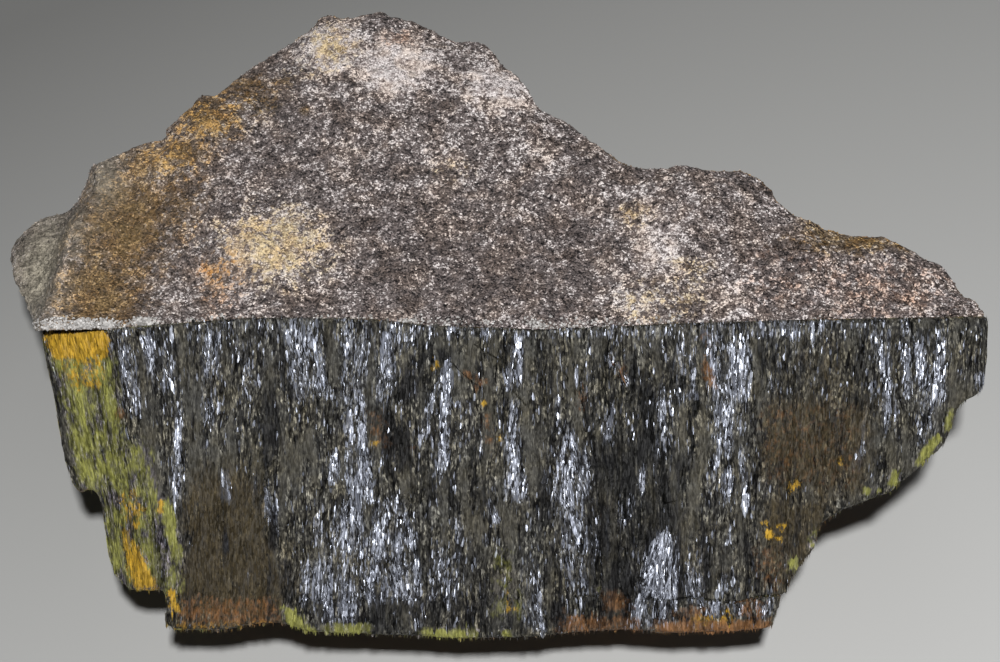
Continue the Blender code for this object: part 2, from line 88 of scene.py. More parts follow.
def vertexNormals(mesh):
    return readVectors(mesh, "normal") @ slabAxes


def moveVertices(mesh, shift):
    # shift is in the slab frame, in millimetres
    places = readVectors(mesh, "co") + shift @ slabAxes.T * mm
    mesh.vertices.foreach_set("co", places.ravel())
    mesh.update()


def storeNumbers(mesh, numbers):
    for name, values in numbers.items():
        made = mesh.attributes.new(name, "FLOAT", "POINT")
        made.data.foreach_set("value", values.astype(np.float32))


def freePlaces(places, normals, way):
    # what isn't on the sawn base or the contact with the other stone, and the contact, where the stone
    # looks up v if way is 1 and down v if it is -1
    slope = math.radians(slab["faceSlope"])
    height = places @ np.array([0, math.sin(slope), math.cos(slope)]) + slab["ridgeMiddle"][2] * perMetre
    contact = (way * normals[:, 1] > slab["contactFacing"]) & (way * places[:, 1] > -slab["contactReach"])
    return ~(contact | (height < slab["sawnBelow"])), contact


def smoothStep(low, high, values):
    share = np.clip((values - low) / (high - low), 0, 1)
    return share * share * (3 - 2 * share)


seedStep = 17.3     # how far one seed's noise lies from the next, in lumps


def softNoise(places, run, seed=0.0):
    # smooth noise in -1 to 1; run is the size of its lumps along u, v and n
    scaled = places / np.array(run) + seed * seedStep
    return np.array([noise.noise(Vector(p)) for p in scaled])


def cellNoise(places, size, seed=0.0):
    # distance to the middle of the nearest cell
    scaled = places / size + seed * seedStep
    return np.array([noise.voronoi(Vector(p))[0][0] for p in scaled])


def spots(places, listed):
    # the strongest of several soft spots at each place: u, v, run along u, run along v, strength
    u, v = places[:, 0], places[:, 1]
    total = np.zeros(len(u))
    for uMid, vMid, uRun, vRun, strength in listed:
        off = ((u - uMid) / uRun) ** 2 + ((v - vMid) / vRun) ** 2
        total = np.maximum(total, strength * np.exp(-off))
    return total


wedgeEdge = {
    "slimHalf": 0.2,            # no wedge is slimmer than this
    "most": 1.3,                # widest fade of a side, for a blur of 1
    "endShare": 0.25,           # fade of an end, as a share of the wedge's length
    "endRange": (0.4, 2.0),
    "steepest": 0.5,            # most sideways run of a fanned fibre for each mm down
}


def wedges(places, listed, blur):
    # the strongest of several wedges at each place, and how its fibres run out from its top;
    # a wedge is u and v of its top, u and v of its foot, its half widths there and its strength
    u, v = places[:, 0], places[:, 1]
    total, slope = np.zeros(len(u)), np.zeros(len(u))
    steepest = wedgeEdge["steepest"]
    for uTop, vTop, uFoot, vFoot, halfTop, halfFoot, strength in listed:
        length = vTop - vFoot
        down = np.clip((vTop - v) / length, 0, 1)
        half = np.maximum(halfTop + (halfFoot - halfTop) * down, wedgeEdge["slimHalf"])
        off = u - uTop - (uFoot - uTop) * down
        side = blur * np.minimum(0.5 + 0.5 * half, wedgeEdge["most"])
        end = blur * np.clip(wedgeEdge["endShare"] * length, *wedgeEdge["endRange"])
        share = smoothStep(side, -side, np.abs(off) - half)
        share *= smoothStep(-end, end, vTop - v) * smoothStep(-end, end, v - vFoot)
        ray = -(uFoot - uTop + off / half * (halfFoot - halfTop)) / length
        slope += share * np.clip(ray, -steepest, steepest) * (1 - np.minimum(total, 1))
        total = np.maximum(total, strength * share)
    return total, slope


cracks = {
    "deepest": -8,              # cracks are cut only above this n
    "fineness": (1.0, 0.6),     # how near a crack the mesh is made finer, once and once again
    "far": 99.0,
}


def crackGap(places, points):
    # distance in mm to a line of points, on the sides that face out of the slab
    gap = np.full(len(places), cracks["far"])
    for start, end in zip(np.array(points), np.array(points[1:])):
        way = end - start
        share = np.clip((places[:, :2] - start) @ way / (way @ way), 0, 1)
        gap = np.minimum(gap, np.linalg.norm(places[:, :2] - start - share[:, None] * way, axis=1))
    return np.where(places[:, 2] > cracks["deepest"], gap, cracks["far"])


def openCracks(mesh, lines):
    # narrow grooves in a finer mesh; each line is (half width, depth, points (u, v))
    for fineness in cracks["fineness"]:
        places = vertexPlaces(mesh)
        near = np.min([crackGap(places, points) for half, depth, points in lines], axis=0) < fineness
        shape = bmesh.new()
        shape.from_mesh(mesh)
        shape.verts.ensure_lookup_table()
        edges = {e for i in np.flatnonzero(near) for e in shape.verts[i].link_edges
                 if near[e.other_vert(shape.verts[i]).index]}
        edges = sorted(edges, key=lambda e: e.index)
        bmesh.ops.subdivide_edges(shape, edges=edges, cuts=1, use_grid_fill=True)
        shape.to_mesh(mesh)
        shape.free()
    places, normals = vertexPlaces(mesh), vertexNormals(mesh)
    sunk = np.zeros(len(places))
    for half, depth, points in lines:
        share = np.clip(crackGap(places, points) / half, 0, 1)
        sunk = np.maximum(sunk, depth * (1 - share ** 2))
    moveVertices(mesh, -normals * sunk[:, None])


def setSocket(tree, socket, value):
    if isinstance(value, bpy.types.NodeSocket):
        tree.links.new(value, socket)
    else:
        socket.default_value = value


def addNode(tree, kind, inputs=None, **settings):
    # a node with its settings; inputs maps a socket's name or number to a value or a socket
    made = tree.nodes.new(kind)
    for name, value in settings.items():
        setattr(made, name, value)
    for name, value in (inputs or {}).items():
        setSocket(tree, made.inputs[name], value)
    return made


def mathNode(tree, operation, first, *others, clamp=False):
    # takes each of the others to the first, from the left
    for other in others:
        made = addNode(tree, "ShaderNodeMath", {0: first, 1: other}, operation=operation, use_clamp=clamp)
        first = made.outputs[0]
    return first


def times(tree, *values, clamp=False):
    return mathNode(tree, "MULTIPLY", *values, clamp=clamp)


def plus(tree, *values):
    return mathNode(tree, "ADD", *values)


def minus(tree, *values, clamp=False):
    return mathNode(tree, "SUBTRACT", *values, clamp=clamp)


def vectorMath(tree, operation, *values):
    return addNode(tree, "ShaderNodeVectorMath", dict(enumerate(values)), operation=operation).outputs[0]


def scaleVector(tree, vector, amount):
    return addNode(tree, "ShaderNodeVectorMath", {0: vector, "Scale": amount}, operation="SCALE").outputs[0]


def mixColour(tree, share, first, second, blend="MIX"):
    # each colour is a socket or three numbers
    colours = [value if isinstance(value, bpy.types.NodeSocket) else (*value, 1) for value in (first, second)]
    made = addNode(tree, "ShaderNodeMix", data_type="RGBA", blend_type=blend)
    for number, value in zip((0, 6, 7), (share, *colours)):
        setSocket(tree, made.inputs[number], value)
    return made.outputs[2]


def rampValue(tree, value, low, high):
    # 0 below low, 1 above high, smooth between
    inputs = {0: value, 1: low, 2: high}
    return addNode(tree, "ShaderNodeMapRange", inputs, interpolation_type="SMOOTHSTEP").outputs[0]


def mapRange(tree, value, low, high):
    # a value in 0 to 1 spread over low to high
    return addNode(tree, "ShaderNodeMapRange", {0: value, 3: low, 4: high}).outputs[0]


def newGroup(name, inputs, outputs):
    tree = bpy.data.node_groups.new(name, "ShaderNodeTree")
    for label, value in inputs.items():
        kind = "NodeSocketFloat" if isinstance(value, float) else "NodeSocketVector"
        socket = tree.interface.new_socket(label, in_out="INPUT", socket_type=kind)
        socket.default_value = value
    for label, kind in outputs.items():
        tree.interface.new_socket(label, in_out="OUTPUT", socket_type="NodeSocket" + kind)
    return tree, addNode(tree, "NodeGroupInput").outputs


def endGroup(tree, outputs):
    addNode(tree, "NodeGroupOutput", outputs)
    return tree


def placeGroup(tree, group, inputs=None):
    return addNode(tree, "ShaderNodeGroup", inputs, node_tree=group).outputs


def attributeValue(tree, name):
    return addNode(tree, "ShaderNodeAttribute", attribute_name=name).outputs["Fac"]


def objectPlace(tree):
    return addNode(tree, "ShaderNodeTexCoord").outputs["Object"]


def slabVector(tree):
    # Object coordinates turned into the slab frame, still in metres
    toSlab = Matrix.Rotation(-math.radians(slab["faceSlope"]), 4, "X")
    moved = addNode(tree, "ShaderNodeMapping", {
        "Vector": objectPlace(tree), "Rotation": toSlab.to_euler(),
        "Location": -(toSlab @ Vector(slab["ridgeMiddle"]))})
    return moved.outputs[0]


def fibreGroup():
    # slab coordinates that lean with the fibres and wander a little, in metres
    tree, given = newGroup(
        "fibreSpace", {"Lean": 0.0, "Wander": 0.0009, "Bends": 180.0}, {"Place": "Vector"})
    place = slabVector(tree)
    drift = addNode(tree, "ShaderNodeTexNoise", {
        "Vector": place, "Scale": given["Bends"], "Detail": 1.0, "Roughness": 0.5}).outputs[0]
    parts = addNode(tree, "ShaderNodeSeparateXYZ", {0: place}).outputs
    across = plus(tree, parts[0], times(tree, given["Lean"], parts[1]))
    wander = times(tree, minus(tree, drift, 0.5), given["Wander"])
    moved = addNode(tree, "ShaderNodeCombineXYZ", {0: plus(tree, across, wander), 1: parts[1], 2: parts[2]})
    return endGroup(tree, {"Place": moved.outputs[0]})


def stretchPlace(tree, given, width, length):
    # the place measured in cells of one width and length, shifted by the seed
    size = addNode(tree, "ShaderNodeCombineXYZ", {0: width, 1: length, 2: width})
    stretched = vectorMath(tree, "DIVIDE", given["Place"], size.outputs[0])
    return vectorMath(tree, "ADD", stretched, given["Seed"])


def cellsAt(tree, place):
    # the cell around a place: its own outputs, three random values, and the way there from its middle
    cells = addNode(tree, "ShaderNodeTexVoronoi", {"Vector": place, "Scale": 1.0}).outputs
    values = addNode(tree, "ShaderNodeSeparateColor", {0: cells["Color"]}).outputs
    return cells, values, vectorMath(tree, "SUBTRACT", place, cells["Position"])


def bladeGroup():
    # long crystals side by side: two random values for each, the height of its tilted face, and
    # how far it is from its middle line
    tree, given = newGroup(
        "needleBlades",
        {"Place": (0, 0, 0), "Width": 0.0004, "Length": 0.004, "Tilt": 0.4, "Dome": 0.12, "Seed": 0.0},
        {"Value": "Float", "Second": "Float", "Height": "Float", "Gap": "Float"})
    place = stretchPlace(tree, given, given["Width"], given["Length"])
    cells, values, offset = cellsAt(tree, place)
    sideways = addNode(tree, "ShaderNodeSeparateXYZ", {0: offset}).outputs[0]
    slope = times(tree, minus(tree, values[2], 0.5), given["Tilt"])
    domed = minus(tree, times(tree, sideways, slope), times(tree, cells["Distance"], given["Dome"]))
    return endGroup(tree, {"Value": values[0], "Second": values[1],
                           "Height": times(tree, domed, given["Width"]), "Gap": cells["Distance"]})


def grainGroup():
    # broken grains: two random values for each, and the height of its tilted face
    tree, given = newGroup(
        "rockGrains", {"Size": 0.0005, "Tilt": 0.8, "Bend": 1.4, "Joint": -0.3, "Seed": 0.0},
        {"Value": "Float", "Second": "Float", "Height": "Float"})
    scaled = scaleVector(tree, objectPlace(tree), mathNode(tree, "DIVIDE", 1.0, given["Size"]))
    shifted = vectorMath(tree, "ADD", scaled, given["Seed"])
    bend = addNode(tree, "ShaderNodeTexNoise", {"Vector": shifted, "Scale": 0.8, "Detail": 1.0}).outputs[1]
    bent = vectorMath(tree, "MULTIPLY_ADD", bend, given["Bend"], shifted)
    cells, values, offset = cellsAt(tree, bent)
    lean = vectorMath(tree, "SUBTRACT", cells["Color"], (0.5, 0.5, 0.5))
    facing = addNode(tree, "ShaderNodeVectorMath", {0: offset, 1: lean}, operation="DOT_PRODUCT")
    facet = times(tree, facing.outputs["Value"], given["Tilt"], given["Size"])
    joint = times(tree, cells["Distance"], given["Size"], given["Joint"])
    return endGroup(tree, {"Value": values[0], "Second": values[1], "Height": plus(tree, facet, joint)})


def raggedGroup():
    # noise about zero, stretched along the fibres, that breaks the edges of soft masks
    tree, given = newGroup(
        "raggedNoise", {"Place": (0, 0, 0), "Run": 0.002, "Stretch": 1.0, "Seed": 0.0}, {"Value": "Float"})
    place = stretchPlace(tree, given, given["Run"], times(tree, given["Run"], given["Stretch"]))
    uneven = addNode(tree, "ShaderNodeTexNoise", {
        "Vector": place, "Scale": 1.0, "Detail": 3.0, "Roughness": 0.75})
    return endGroup(tree, {"Value": times(tree, minus(tree, uneven.outputs[0], 0.5), 2.0)})


def patchGroup():
    # a soft mask cut off along the noise
    tree, given = newGroup(
        "raggedPatch", {"Mask": 0.0, "Noise": 0.0, "Softness": 0.12}, {"Mask": "Float"})
    level = minus(tree, plus(tree, given["Mask"], given["Noise"]), 0.5)
    edge = rampValue(tree, level, times(tree, given["Softness"], -1.0), given["Softness"])
    covered = rampValue(tree, given["Mask"], 0.0, 0.2)      # none where the mask itself is empty
    return endGroup(tree, {"Mask": times(tree, edge, covered)})


fibreSpace, blades, grains = fibreGroup(), bladeGroup(), grainGroup()
ragged, patch = raggedGroup(), patchGroup()


def softValue(tree, run, seed, low=0.3, high=0.7):
    # smooth noise over the stone, in 0 to 1
    moved = vectorMath(tree, "ADD", objectPlace(tree), (seed, seed, seed))
    made = addNode(tree, "ShaderNodeTexNoise", {
        "Vector": moved, "Scale": 1 / run, "Detail": 2.0, "Roughness": 0.6})
    return rampValue(tree, made.outputs[0], low, high)


def maskFrom(tree, name, noiseValue, softness):
    return placeGroup(tree, patch, {
        "Mask": attributeValue(tree, name), "Noise": noiseValue, "Softness": softness})["Mask"]


def startMaterial(name):
    material = bpy.data.materials.new(name)
    material.use_nodes = True
    return material, material.node_tree, material.node_tree.nodes["Principled BSDF"]


def linkBump(tree, shader, first, second, strength):
    height = plus(tree, first, second)
    bump = addNode(tree, "ShaderNodeBump", {"Height": height, "Strength": strength, "Distance": 1.0})
    tree.links.new(bump.outputs[0], shader.inputs["Normal"])


def roomAlong(mesh, normals, slant, most, under=0.0006):
    # how far a crystal may reach up and down the fibres from each vertex before it leaves the stone,
    # looked for a little under the surface; under is in metres
    tree = BVHTree.FromPolygons([v.co.copy() for v in mesh.vertices],
                                [tuple(f.vertices) for f in mesh.polygons])
    toWorld = slabAxes.T
    inside = (normals @ toWorld) * -under
    room = np.empty(len(mesh.vertices))
    for i, vertex in enumerate(mesh.vertices):
        start = vertex.co + Vector(inside[i])
        fibre = Vector(np.array([slant[i], 1, 0]) @ toWorld).normalized()
        nearest = most
        for way in (fibre, -fibre):
            hit = tree.ray_cast(start, way, most * mm)
            if hit[0] is not None:
                nearest = min(nearest, hit[3] * perMetre)
        room[i] = nearest
    return room


def stoneSurface(node, voxel):
    # the CAD solid with even small faces, ready for fine relief
    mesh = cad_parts[node].data.copy()
    shape = bmesh.new()
    shape.from_mesh(mesh)
    bmesh.ops.remove_doubles(shape, verts=shape.verts, dist=1e-6)
    shape.to_mesh(mesh)
    shape.free()
    form = linkObject(node + "_form", mesh)
    remesh = form.modifiers.new("even", "REMESH")
    remesh.mode = "VOXEL"
    remesh.voxel_size = voxel
    surface = plainMesh(form, node + "_surface")
    surface.materials.clear()
    bpy.data.objects.remove(form)
    return surface


def thinOut(mesh, hidden, flatness=8):
    # merges the small faces whose corners are all hidden: the sawn base and the contact
    shape = bmesh.new()
    shape.from_mesh(mesh)
    flags = [bool(flag) for flag in hidden]
    faces = [f for f in shape.faces if all(flags[v.index] for v in f.verts)]
    # sorted, so that every run gives the same mesh
    edges = sorted({e for f in faces for e in f.edges}, key=lambda e: e.index)
    corners = sorted({v for f in faces for v in f.verts}, key=lambda v: v.index)
    bmesh.ops.dissolve_limit(shape, angle_limit=math.radians(flatness), verts=corners, edges=edges)
    bmesh.ops.triangulate(shape, faces=shape.faces)
    shape.to_mesh(mesh)
    shape.free()


def finishStone(name, mesh, hidden, material):
    thinOut(mesh, hidden)
    mesh.materials.append(material)
    print(name, len(mesh.polygons), "faces")
    return linkObject(name, mesh)


# The goethite. A finish is a list of wedges: u and v of the top, u and v of the foot, half widths
# there, strength. The voxel, the crystals and the noises are in metres, the rest in millimetres.
goethite = {
    "voxel": 0.00043,
    "leanLeft": (0.18, -36.0, -52.0),       # sideways run of a needle for each mm down: most, from u, to u
    "leanRight": (-0.06, 15.0, 60.0),
    "plates": {"run": (1.5, 9.0, 1.5), "proud": 0.12, "calm": 0.75, "seed": 21},     # smooth faces
    "grooves": ((1.3, 0.10), (0.62, 0.07)),     # width of the fibrous grooves and their depth
    "grooveStretch": 16,
    "crustLumps": ((5.5, 0.80), (2.2, 0.32)),   # size of the front crust's bubbles and their height
    "streakRun": (0.8, 7.0, 0.8),               # the bright streaks that break up the glint zones and their painted glints
    "mostRoom": 4.0,
    # painted glints and sheen: the glint zones, where the base colour is painted bluish and crystals are
    # painted near white as glints, and where the needles lie flatter
    "silver": (
        (-17.7, -7.3, -17.5, -15.3, 0.6, 1.1, 0.7), (20.1, -25.9, 19.2, -33.7, 1.1, 2.3, 0.5),
        (0, 0.6, 0, -1.6, 50.2, 50.2, 0.26), (-45.7, -2.4, -44.7, -10.9, 1, 0.7, 0.6),
        (-42.8, -1.3, -40.6, -8.2, 1.7, 1.5, 0.5), (-39.4, -9.8, -39.5, -21.4, 0.24, 0.9, 0.6),
        (-39.5, -13.8, -39.7, -17.5, 0.37, 0.5, 0.95), (-36.4, -0.4, -35.3, -12.2, 0.6, 0.7, 0.5),
        (-34.8, -0.4, -34.8, -6.5, 0.7, 0.5, 0.5), (-32.4, -0.4, -30.8, -9.4, 1, 0.6, 0.35),
        (-30.5, -1, -30.6, -11.6, 0.37, 0.24, 0.4), (-33.8, -17.7, -33.2, -21.7, 0.37, 0.7, 0.75),
        (-28.6, -19.7, -28.4, -23.9, 0.37, 0.37, 0.6), (-27.2, -21.4, -27.3, -26.3, 0.18, 0.18, 0.5),
        (-24.2, -0.1, -22.5, -8.7, 1.8, 2.4, 0.5), (-26.2, -0.1, -24.5, -8.7, 0.37, 0.7, 0.55),
        (-17.4, 0.1, -18.1, -9.2, 1.7, 1.2, 0.58), (-17.7, -7.1, -17.4, -15.5, 0.5, 1.2, 1),
        (-14.1, -0.4, -14.4, -9.4, 1.7, 1, 0.5), (-11.6, 0.4, -12.2, -3.3, 2.4, 1, 0.4),
        (-20.2, -15.3, -20.3, -19.2, 0.5, 0.6, 0.75), (-17.5, -15.1, -17, -21.7, 1.7, 1.6, 0.8),
        (-18.7, -21.4, -20.2, -29, 1.1, 1.8, 0.7), (-17.9, -21.4, -16.9, -28.8, 1, 1.7, 0.65),
        (-13.5, -21.2, -13.5, -29, 1.6, 2.7, 0.6), (-15.1, -22.2, -15.5, -26.6, 0.24, 0.37, 1),
        (-11.8, -21.8, -11, -27.3, 0.37, 0.6, 0.95), (-22.2, -22.9, -22, -27, 0.5, 0.9, 0.6),
        (-18.4, -29, -18.4, -33.9, 5.9, 6.1, 0.5), (-12, -28.8, -10.8, -33.9, 2.2, 1.5, 0.65),
        (-19.6, -33.9, -19.3, -37.3, 2.2, 1.7, 0.4), (-6.2, -4.5, -7.2, -18, 0.24, 0.7, 0.95),
        (-6.6, -4.8, -8.6, -10.2, 0.24, 0.5, 0.7), (-5.4, -4.8, -4.5, -7, 0.18, 0.24, 0.55),
        (-8.6, -10.2, -9.3, -14.1, 0.37, 0.5, 0.5), (-4, -9.2, -3.5, -11.1, 0.24, 0.24, 0.55),
        (-2.7, -12.6, -2.3, -15.5, 0.37, 0.6, 0.5), (2.2, -1.6, 1.5, -7.7, 0.37, 1.1, 0.8),
        (1.7, -9.2, 1.1, -14.3, 0.37, 0.5, 0.95), (1.5, -14.1, 1.6, -21.7, 0.9, 1.1, 0.6),
        (2.4, -15.5, 3.1, -21.4, 0.24, 0.37, 0.7), (-1.6, -21.2, -0.7, -24.1, 0.37, 0.7, 0.75),
        (-5.3, -23.6, -5.1, -26.6, 0.24, 0.7, 0.65), (-3.4, -25.3, -4, -27.5, 0.37, 0.5, 0.5),
        (-1.5, -25.5, -1.6, -27.3, 0.7, 0.6, 0.45), (7.1, -8.6, 7.2, -11.9, 0.24, 0.37, 0.55),
        (8.1, -11.4, 8.7, -21.7, 0.37, 2.6, 0.56), (8, -14.1, 9.1, -29, 0.7, 3.3, 0.26),
        (8, -13.2, 8, -15.5, 0.24, 0.37, 0.95), (10.5, -15.5, 11, -20.4, 0.37, 0.37, 0.8),
        (7, -20, 8.7, -22.4, 0.7, 1.2, 0.65), (8.7, -22, 10.3, -27.8, 0.9, 1, 0.6),
        (9.5, -28.5, 9.8, -33.9, 1.7, 1.5, 0.38), (13, -3.7, 15.4, -7.2, 0.5, 1, 0.35),
        (13.7, -10.2, 13.2, -14.3, 0.6, 0.7, 0.4), (19.8, -7.1, 20, -15.5, 0.24, 0.6, 0.65),
        (22, -1, 22.3, -9.4, 0.7, 0.6, 0.55), (20.4, -1, 20.1, -3.3, 0.5, 0.37, 0.5),
        (17.4, -17.5, 17.3, -20.4, 0.24, 0.37, 0.7), (15.3, -21.2, 15.3, -24.1, 1.2, 1, 0.35),
        (20.1, -25.8, 19.1, -33.7, 1.2, 2.2, 1.3), (18.2, -31.5, 17.5, -33.9, 0.37, 1, 0.95),
        (18.4, -33.9, 18.4, -37, 2.2, 2.7, 0.5), (23.3, -29, 23.9, -33.9, 1.2, 1.2, 0.4),
        (23.7, -0.6, 23.3, -9.4, 0.37, 0.37, 0.5), (22.5, -2.8, 22.4, -9.4, 0.24, 0.37, 0.5),
        (26.3, -0.4, 27.2, -9.4, 1.2, 1.2, 0.52), (29.1, -2.2, 29.4, -9.4, 1.2, 0.9, 0.75),
        (29.1, -10.4, 29.1, -13.3, 0.24, 0.37, 1), (27.3, -9.2, 27.5, -15.5, 1.5, 1.2, 0.6),
        (27.9, -17.5, 27.9, -21.7, 0.7, 0.9, 0.8), (30, -20.6, 30, -22.5, 0.5, 0.5, 0.95),
        (26.2, -15.3, 25.9, -21.4, 1, 0.6, 0.35), (29.5, -15.3, 30.1, -20.4, 0.5, 0.37, 0.45),
        (33, -6.2, 33.2, -8.2, 0.24, 0.5, 0.6), (27.9, -30.4, 27.9, -32.9, 1, 1.2, 0.6),
        (28.8, -33.7, 28.8, -35.7, 4.9, 3.9, 0.42), (46.5, -2.2, 47.1, -7, 1, 0.5, 0.6),
        (47.2, -5.9, 47.5, -9.4, 0.37, 0.6, 1), (49.3, -2.8, 49.9, -8.7, 0.5, 0.5, 0.85),
        (51.2, -2.2, 51.7, -7.5, 0.6, 0.6, 0.92), (53.6, -1.6, 53.6, -9.4, 0.5, 0.7, 0.92),
        (47.7, -9.2, 47.7, -13.1, 1.2, 1, 0.6), (52, -7.7, 52, -14.3, 1.1, 0.6, 0.5),
        (45.3, -6.5, 45.5, -9.4, 0.5, 0.37, 0.45), (58.8, -5.9, 59, -8.2, 0.6, 0.6, 0.75),
        (44.1, -15.1, 43.7, -17.4, 0.37, 0.37, 0.55), (45, -16.9, 45.3, -19.2, 0.24, 0.24, 0.7),
        (49.6, -0.4, 49.6, -2.7, 5.1, 5.1, 0.3), (-6.1, -27.3, -7.3, -33.7, 1.7, 2.7, 0.32),
        (3.7, -28.8, 4, -33.7, 0.7, 1.1, 0.4), (3.7, -33.9, 4.3, -37.6, 1, 1.2, 0.5),
        (-9.8, -33.7, -9.8, -37.3, 0.5, 0.5, 0.3), (36.7, -2.4, 36.5, -9.2, 0.37, 0.37, 0.35),
    ),
    "dark": (
        (-27.4, -1.2, -26.2, -7.5, 1, 1, 0.4), (-28.2, -7.3, -27.9, -15.5, 0.7, 1.2, 0.85),
        (-25.7, -7.3, -25.7, -9.4, 0.7, 0.6, 0.75), (-29.3, -8.9, -28.5, -18, 0.24, 0.37, 0.8),
        (-27.8, -21.7, -27.8, -27.9, 0.5, 0.6, 1), (-27.4, -17.7, -27.4, -20.4, 0.24, 0.24, 0.8),
        (-34, -20.2, -33.4, -27.8, 0.24, 0.37, 0.75), (-39, -21.2, -39, -24.1, 0.37, 0.5, 0.8),
        (-14.1, -10.2, -11.6, -18, 1.2, 2.7, 0.85), (-9.8, -3.1, -11.6, -9.4, 1.5, 1.5, 0.75),
        (-7.2, -2.8, -6.7, -4.5, 0.7, 0.6, 0.95), (-26.1, -28.5, -25.7, -33.9, 0.6, 1.1, 0.75),
        (-36.4, -32.2, -36.4, -33.7, 0.37, 0.37, 0.6), (-20.8, -33.3, -20.8, -34.5, 3.7, 5.1, 0.7),
        (-9.8, -33.7, -10.4, -37.6, 1.7, 1.7, 0.6), (-14.1, -33.9, -13.5, -35.9, 2.4, 1.7, 0.5),
        (5.9, -17.5, 5.5, -24.1, 1, 1, 0.6), (10.4, -8.3, 11, -14.3, 0.7, 0.6, 0.65),
        (6.1, -4, 6.5, -13.1, 0.24, 0.24, 0.55), (15.3, -12.9, 17.1, -37.1, 5.6, 6.6, 0.58),
        (-9.8, -32.7, -8.6, -37.6, 14.7, 15.9, 0.5), (-7.3, -26.9, -7.3, -32.4, 6.1, 7.3, 0.3),
        (20.2, -1.8, 20.6, -16.5, 1, 1.2, 0.4), (-53.9, -5.3, -54.1, -9.4, 0.5, 0.5, 0.9),
        (-49.7, -7.1, -49.2, -13.1, 0.5, 0.6, 0.9), (-48.2, -11.4, -48, -15.5, 0.5, 0.6, 0.8),
        (-51.4, -9.2, -49.9, -17.7, 0.24, 0.24, 0.8), (-53.1, -6.7, -51.4, -17.7, 0.18, 0.18, 0.8),
        (-45.5, -23.6, -45.3, -27.3, 0.6, 0.7, 0.95), (-41.9, -22.9, -41.4, -32.4, 0.7, 1.1, 0.8),
        (-43.8, -17.7, -43.8, -20.2, 0.5, 0.6, 0.7), (-45.5, -17.7, -45.3, -19.7, 0.5, 0.5, 0.7),
        (-48.5, -17.7, -47.5, -28.8, 0.18, 0.18, 0.7), (-46.8, -30.6, -45.9, -32.7, 0.7, 1, 0.8),
        (-44.7, -21.4, -44.3, -23.9, 0.37, 0.37, 0.5), (12.2, -21.2, 12.2, -29, 1.6, 1.8, 0.85),
        (14.7, -28.5, 14.9, -32.7, 1.7, 2.1, 0.85), (13.7, -13.8, 15.4, -21.7, 1.7, 2.7, 0.7),
        (17.9, -6.5, 18.4, -18, 1, 2.4, 0.85), (16.6, -5.3, 17.1, -9.4, 1, 1, 0.55),
        (19.8, -17.5, 20.6, -24.8, 1.2, 1.6, 0.8), (23.4, -3.1, 23.6, -11.9, 0.37, 0.37, 0.8),
        (24.7, -23.6, 25.2, -32.7, 0.7, 1, 0.7), (29.6, -22.4, 30.6, -32.7, 0.5, 0.9, 0.55),
        (36.7, -21.8, 36.2, -26.6, 0.37, 0.37, 0.75), (23.3, -15.1, 23, -18, 0.9, 0.7, 0.75),
        (33, -2.2, 34.3, -9.4, 1.5, 1, 0.45), (36.8, -0.4, 36.7, -9.4, 0.24, 0.24, 0.6),
        (49.7, -2.8, 50.2, -4.8, 0.5, 0.5, 0.75), (59.4, -4, 59.5, -7, 0.24, 0.24, 0.85),
        (7.3, -33.7, 7.3, -37.1, 1, 1.1, 0.85), (-3.7, -33.7, -3.9, -37.1, 1, 1, 0.6),
        (0.6, -1.6, 0.6, -3.3, 0.7, 0.7, 0.55), (-36.8, -0.4, -37.1, -10.6, 0.24, 0.37, 0.65),
        (22, -15.3, 21.5, -21.4, 1, 1, 0.6), (-12.9, -28.8, -12.5, -33.7, 0.37, 0.5, 0.5),
    ),
    "brown": (
        (-33.7, -17.7, -33, -36.7, 4.2, 6.9, 1), (-26.9, -26.3, -25.7, -33.7, 1.2, 1.7, 0.5),
        (39.2, -9.2, 38.6, -20.2, 7.3, 6.1, 0.9), (36.7, -20.2, 34.9, -32.4, 4.9, 2, 0.85),
        (39.2, -1.8, 39.2, -9.2, 2.4, 4.9, 0.5), (24.5, -23.9, 26.3, -32.7, 3.7, 3.7, 0.3),
    ),
    "ochre": (
        (-52.4, -1, -51.7, -4.2, 4.5, 3.4, 1.2), (-51.7, -3.5, -51.2, -8, 3.2, 2.6, 0.45),
        (-45.6, -20, -44.8, -25, 1.7, 1.7, 0.38), (-46, -25.5, -43.4, -32.4, 0.6, 1.8, 1.1),
        (-44.8, -21.8, -44.4, -23.1, 0.37, 0.37, 0.9), (-41.6, -21.4, -41.6, -23.1, 0.37, 0.6, 0.8),
        (-40.1, -32.2, -39.7, -35.1, 0.5, 0.7, 0.8), (-44.7, -24.1, -44.6, -25.1, 0.37, 0.37, 0.8),
        (32.8, -25, 32.8, -26.1, 0.6, 0.6, 0.9), (34.4, -24.2, 34.5, -25.1, 0.5, 0.5, 0.85),
        (32.3, -23.9, 32.4, -24.5, 0.37, 0.37, 0.8), (33.9, -25.7, 34, -26.4, 0.5, 0.5, 0.8),
        (35.9, -18.8, 36.4, -19.7, 0.6, 0.6, 0.6), (35.9, -19, 35.5, -20.8, 0.6, 0.5, 0.5),
        (-8, -4.3, -7.7, -5.3, 0.37, 0.37, 0.8), (1, -33.4, 1.5, -35.1, 0.5, 0.7, 0.5),
        (-33.7, -36.1, -33.7, -37.2, 6.1, 6.1, 0.34), (-2, -9.2, -1.8, -9.9, 0.37, 0.37, 0.9),
        (-0.1, -13.3, 0, -14.3, 0.24, 0.24, 0.8), (-15.3, -14.1, -15.3, -14.8, 0.37, 0.37, 0.8),
        (41.6, -16, 41.6, -17.3, 0.37, 0.37, 0.6), (25.9, -35.4, 25.9, -36.8, 2.7, 2.7, 0.5),
    ),
    "lime": (
        (-51.9, -2.6, -48.2, -21.4, 4.4, 3.2, 0.54), (-44.8, -14.1, -43.3, -32.7, 1.7, 4.9, 0.48),
        (-52.9, -4, -50.2, -20.4, 2, 2, 0.7), (-54.1, -2.4, -53.6, -11.6, 0.5, 0.5, 0.6),
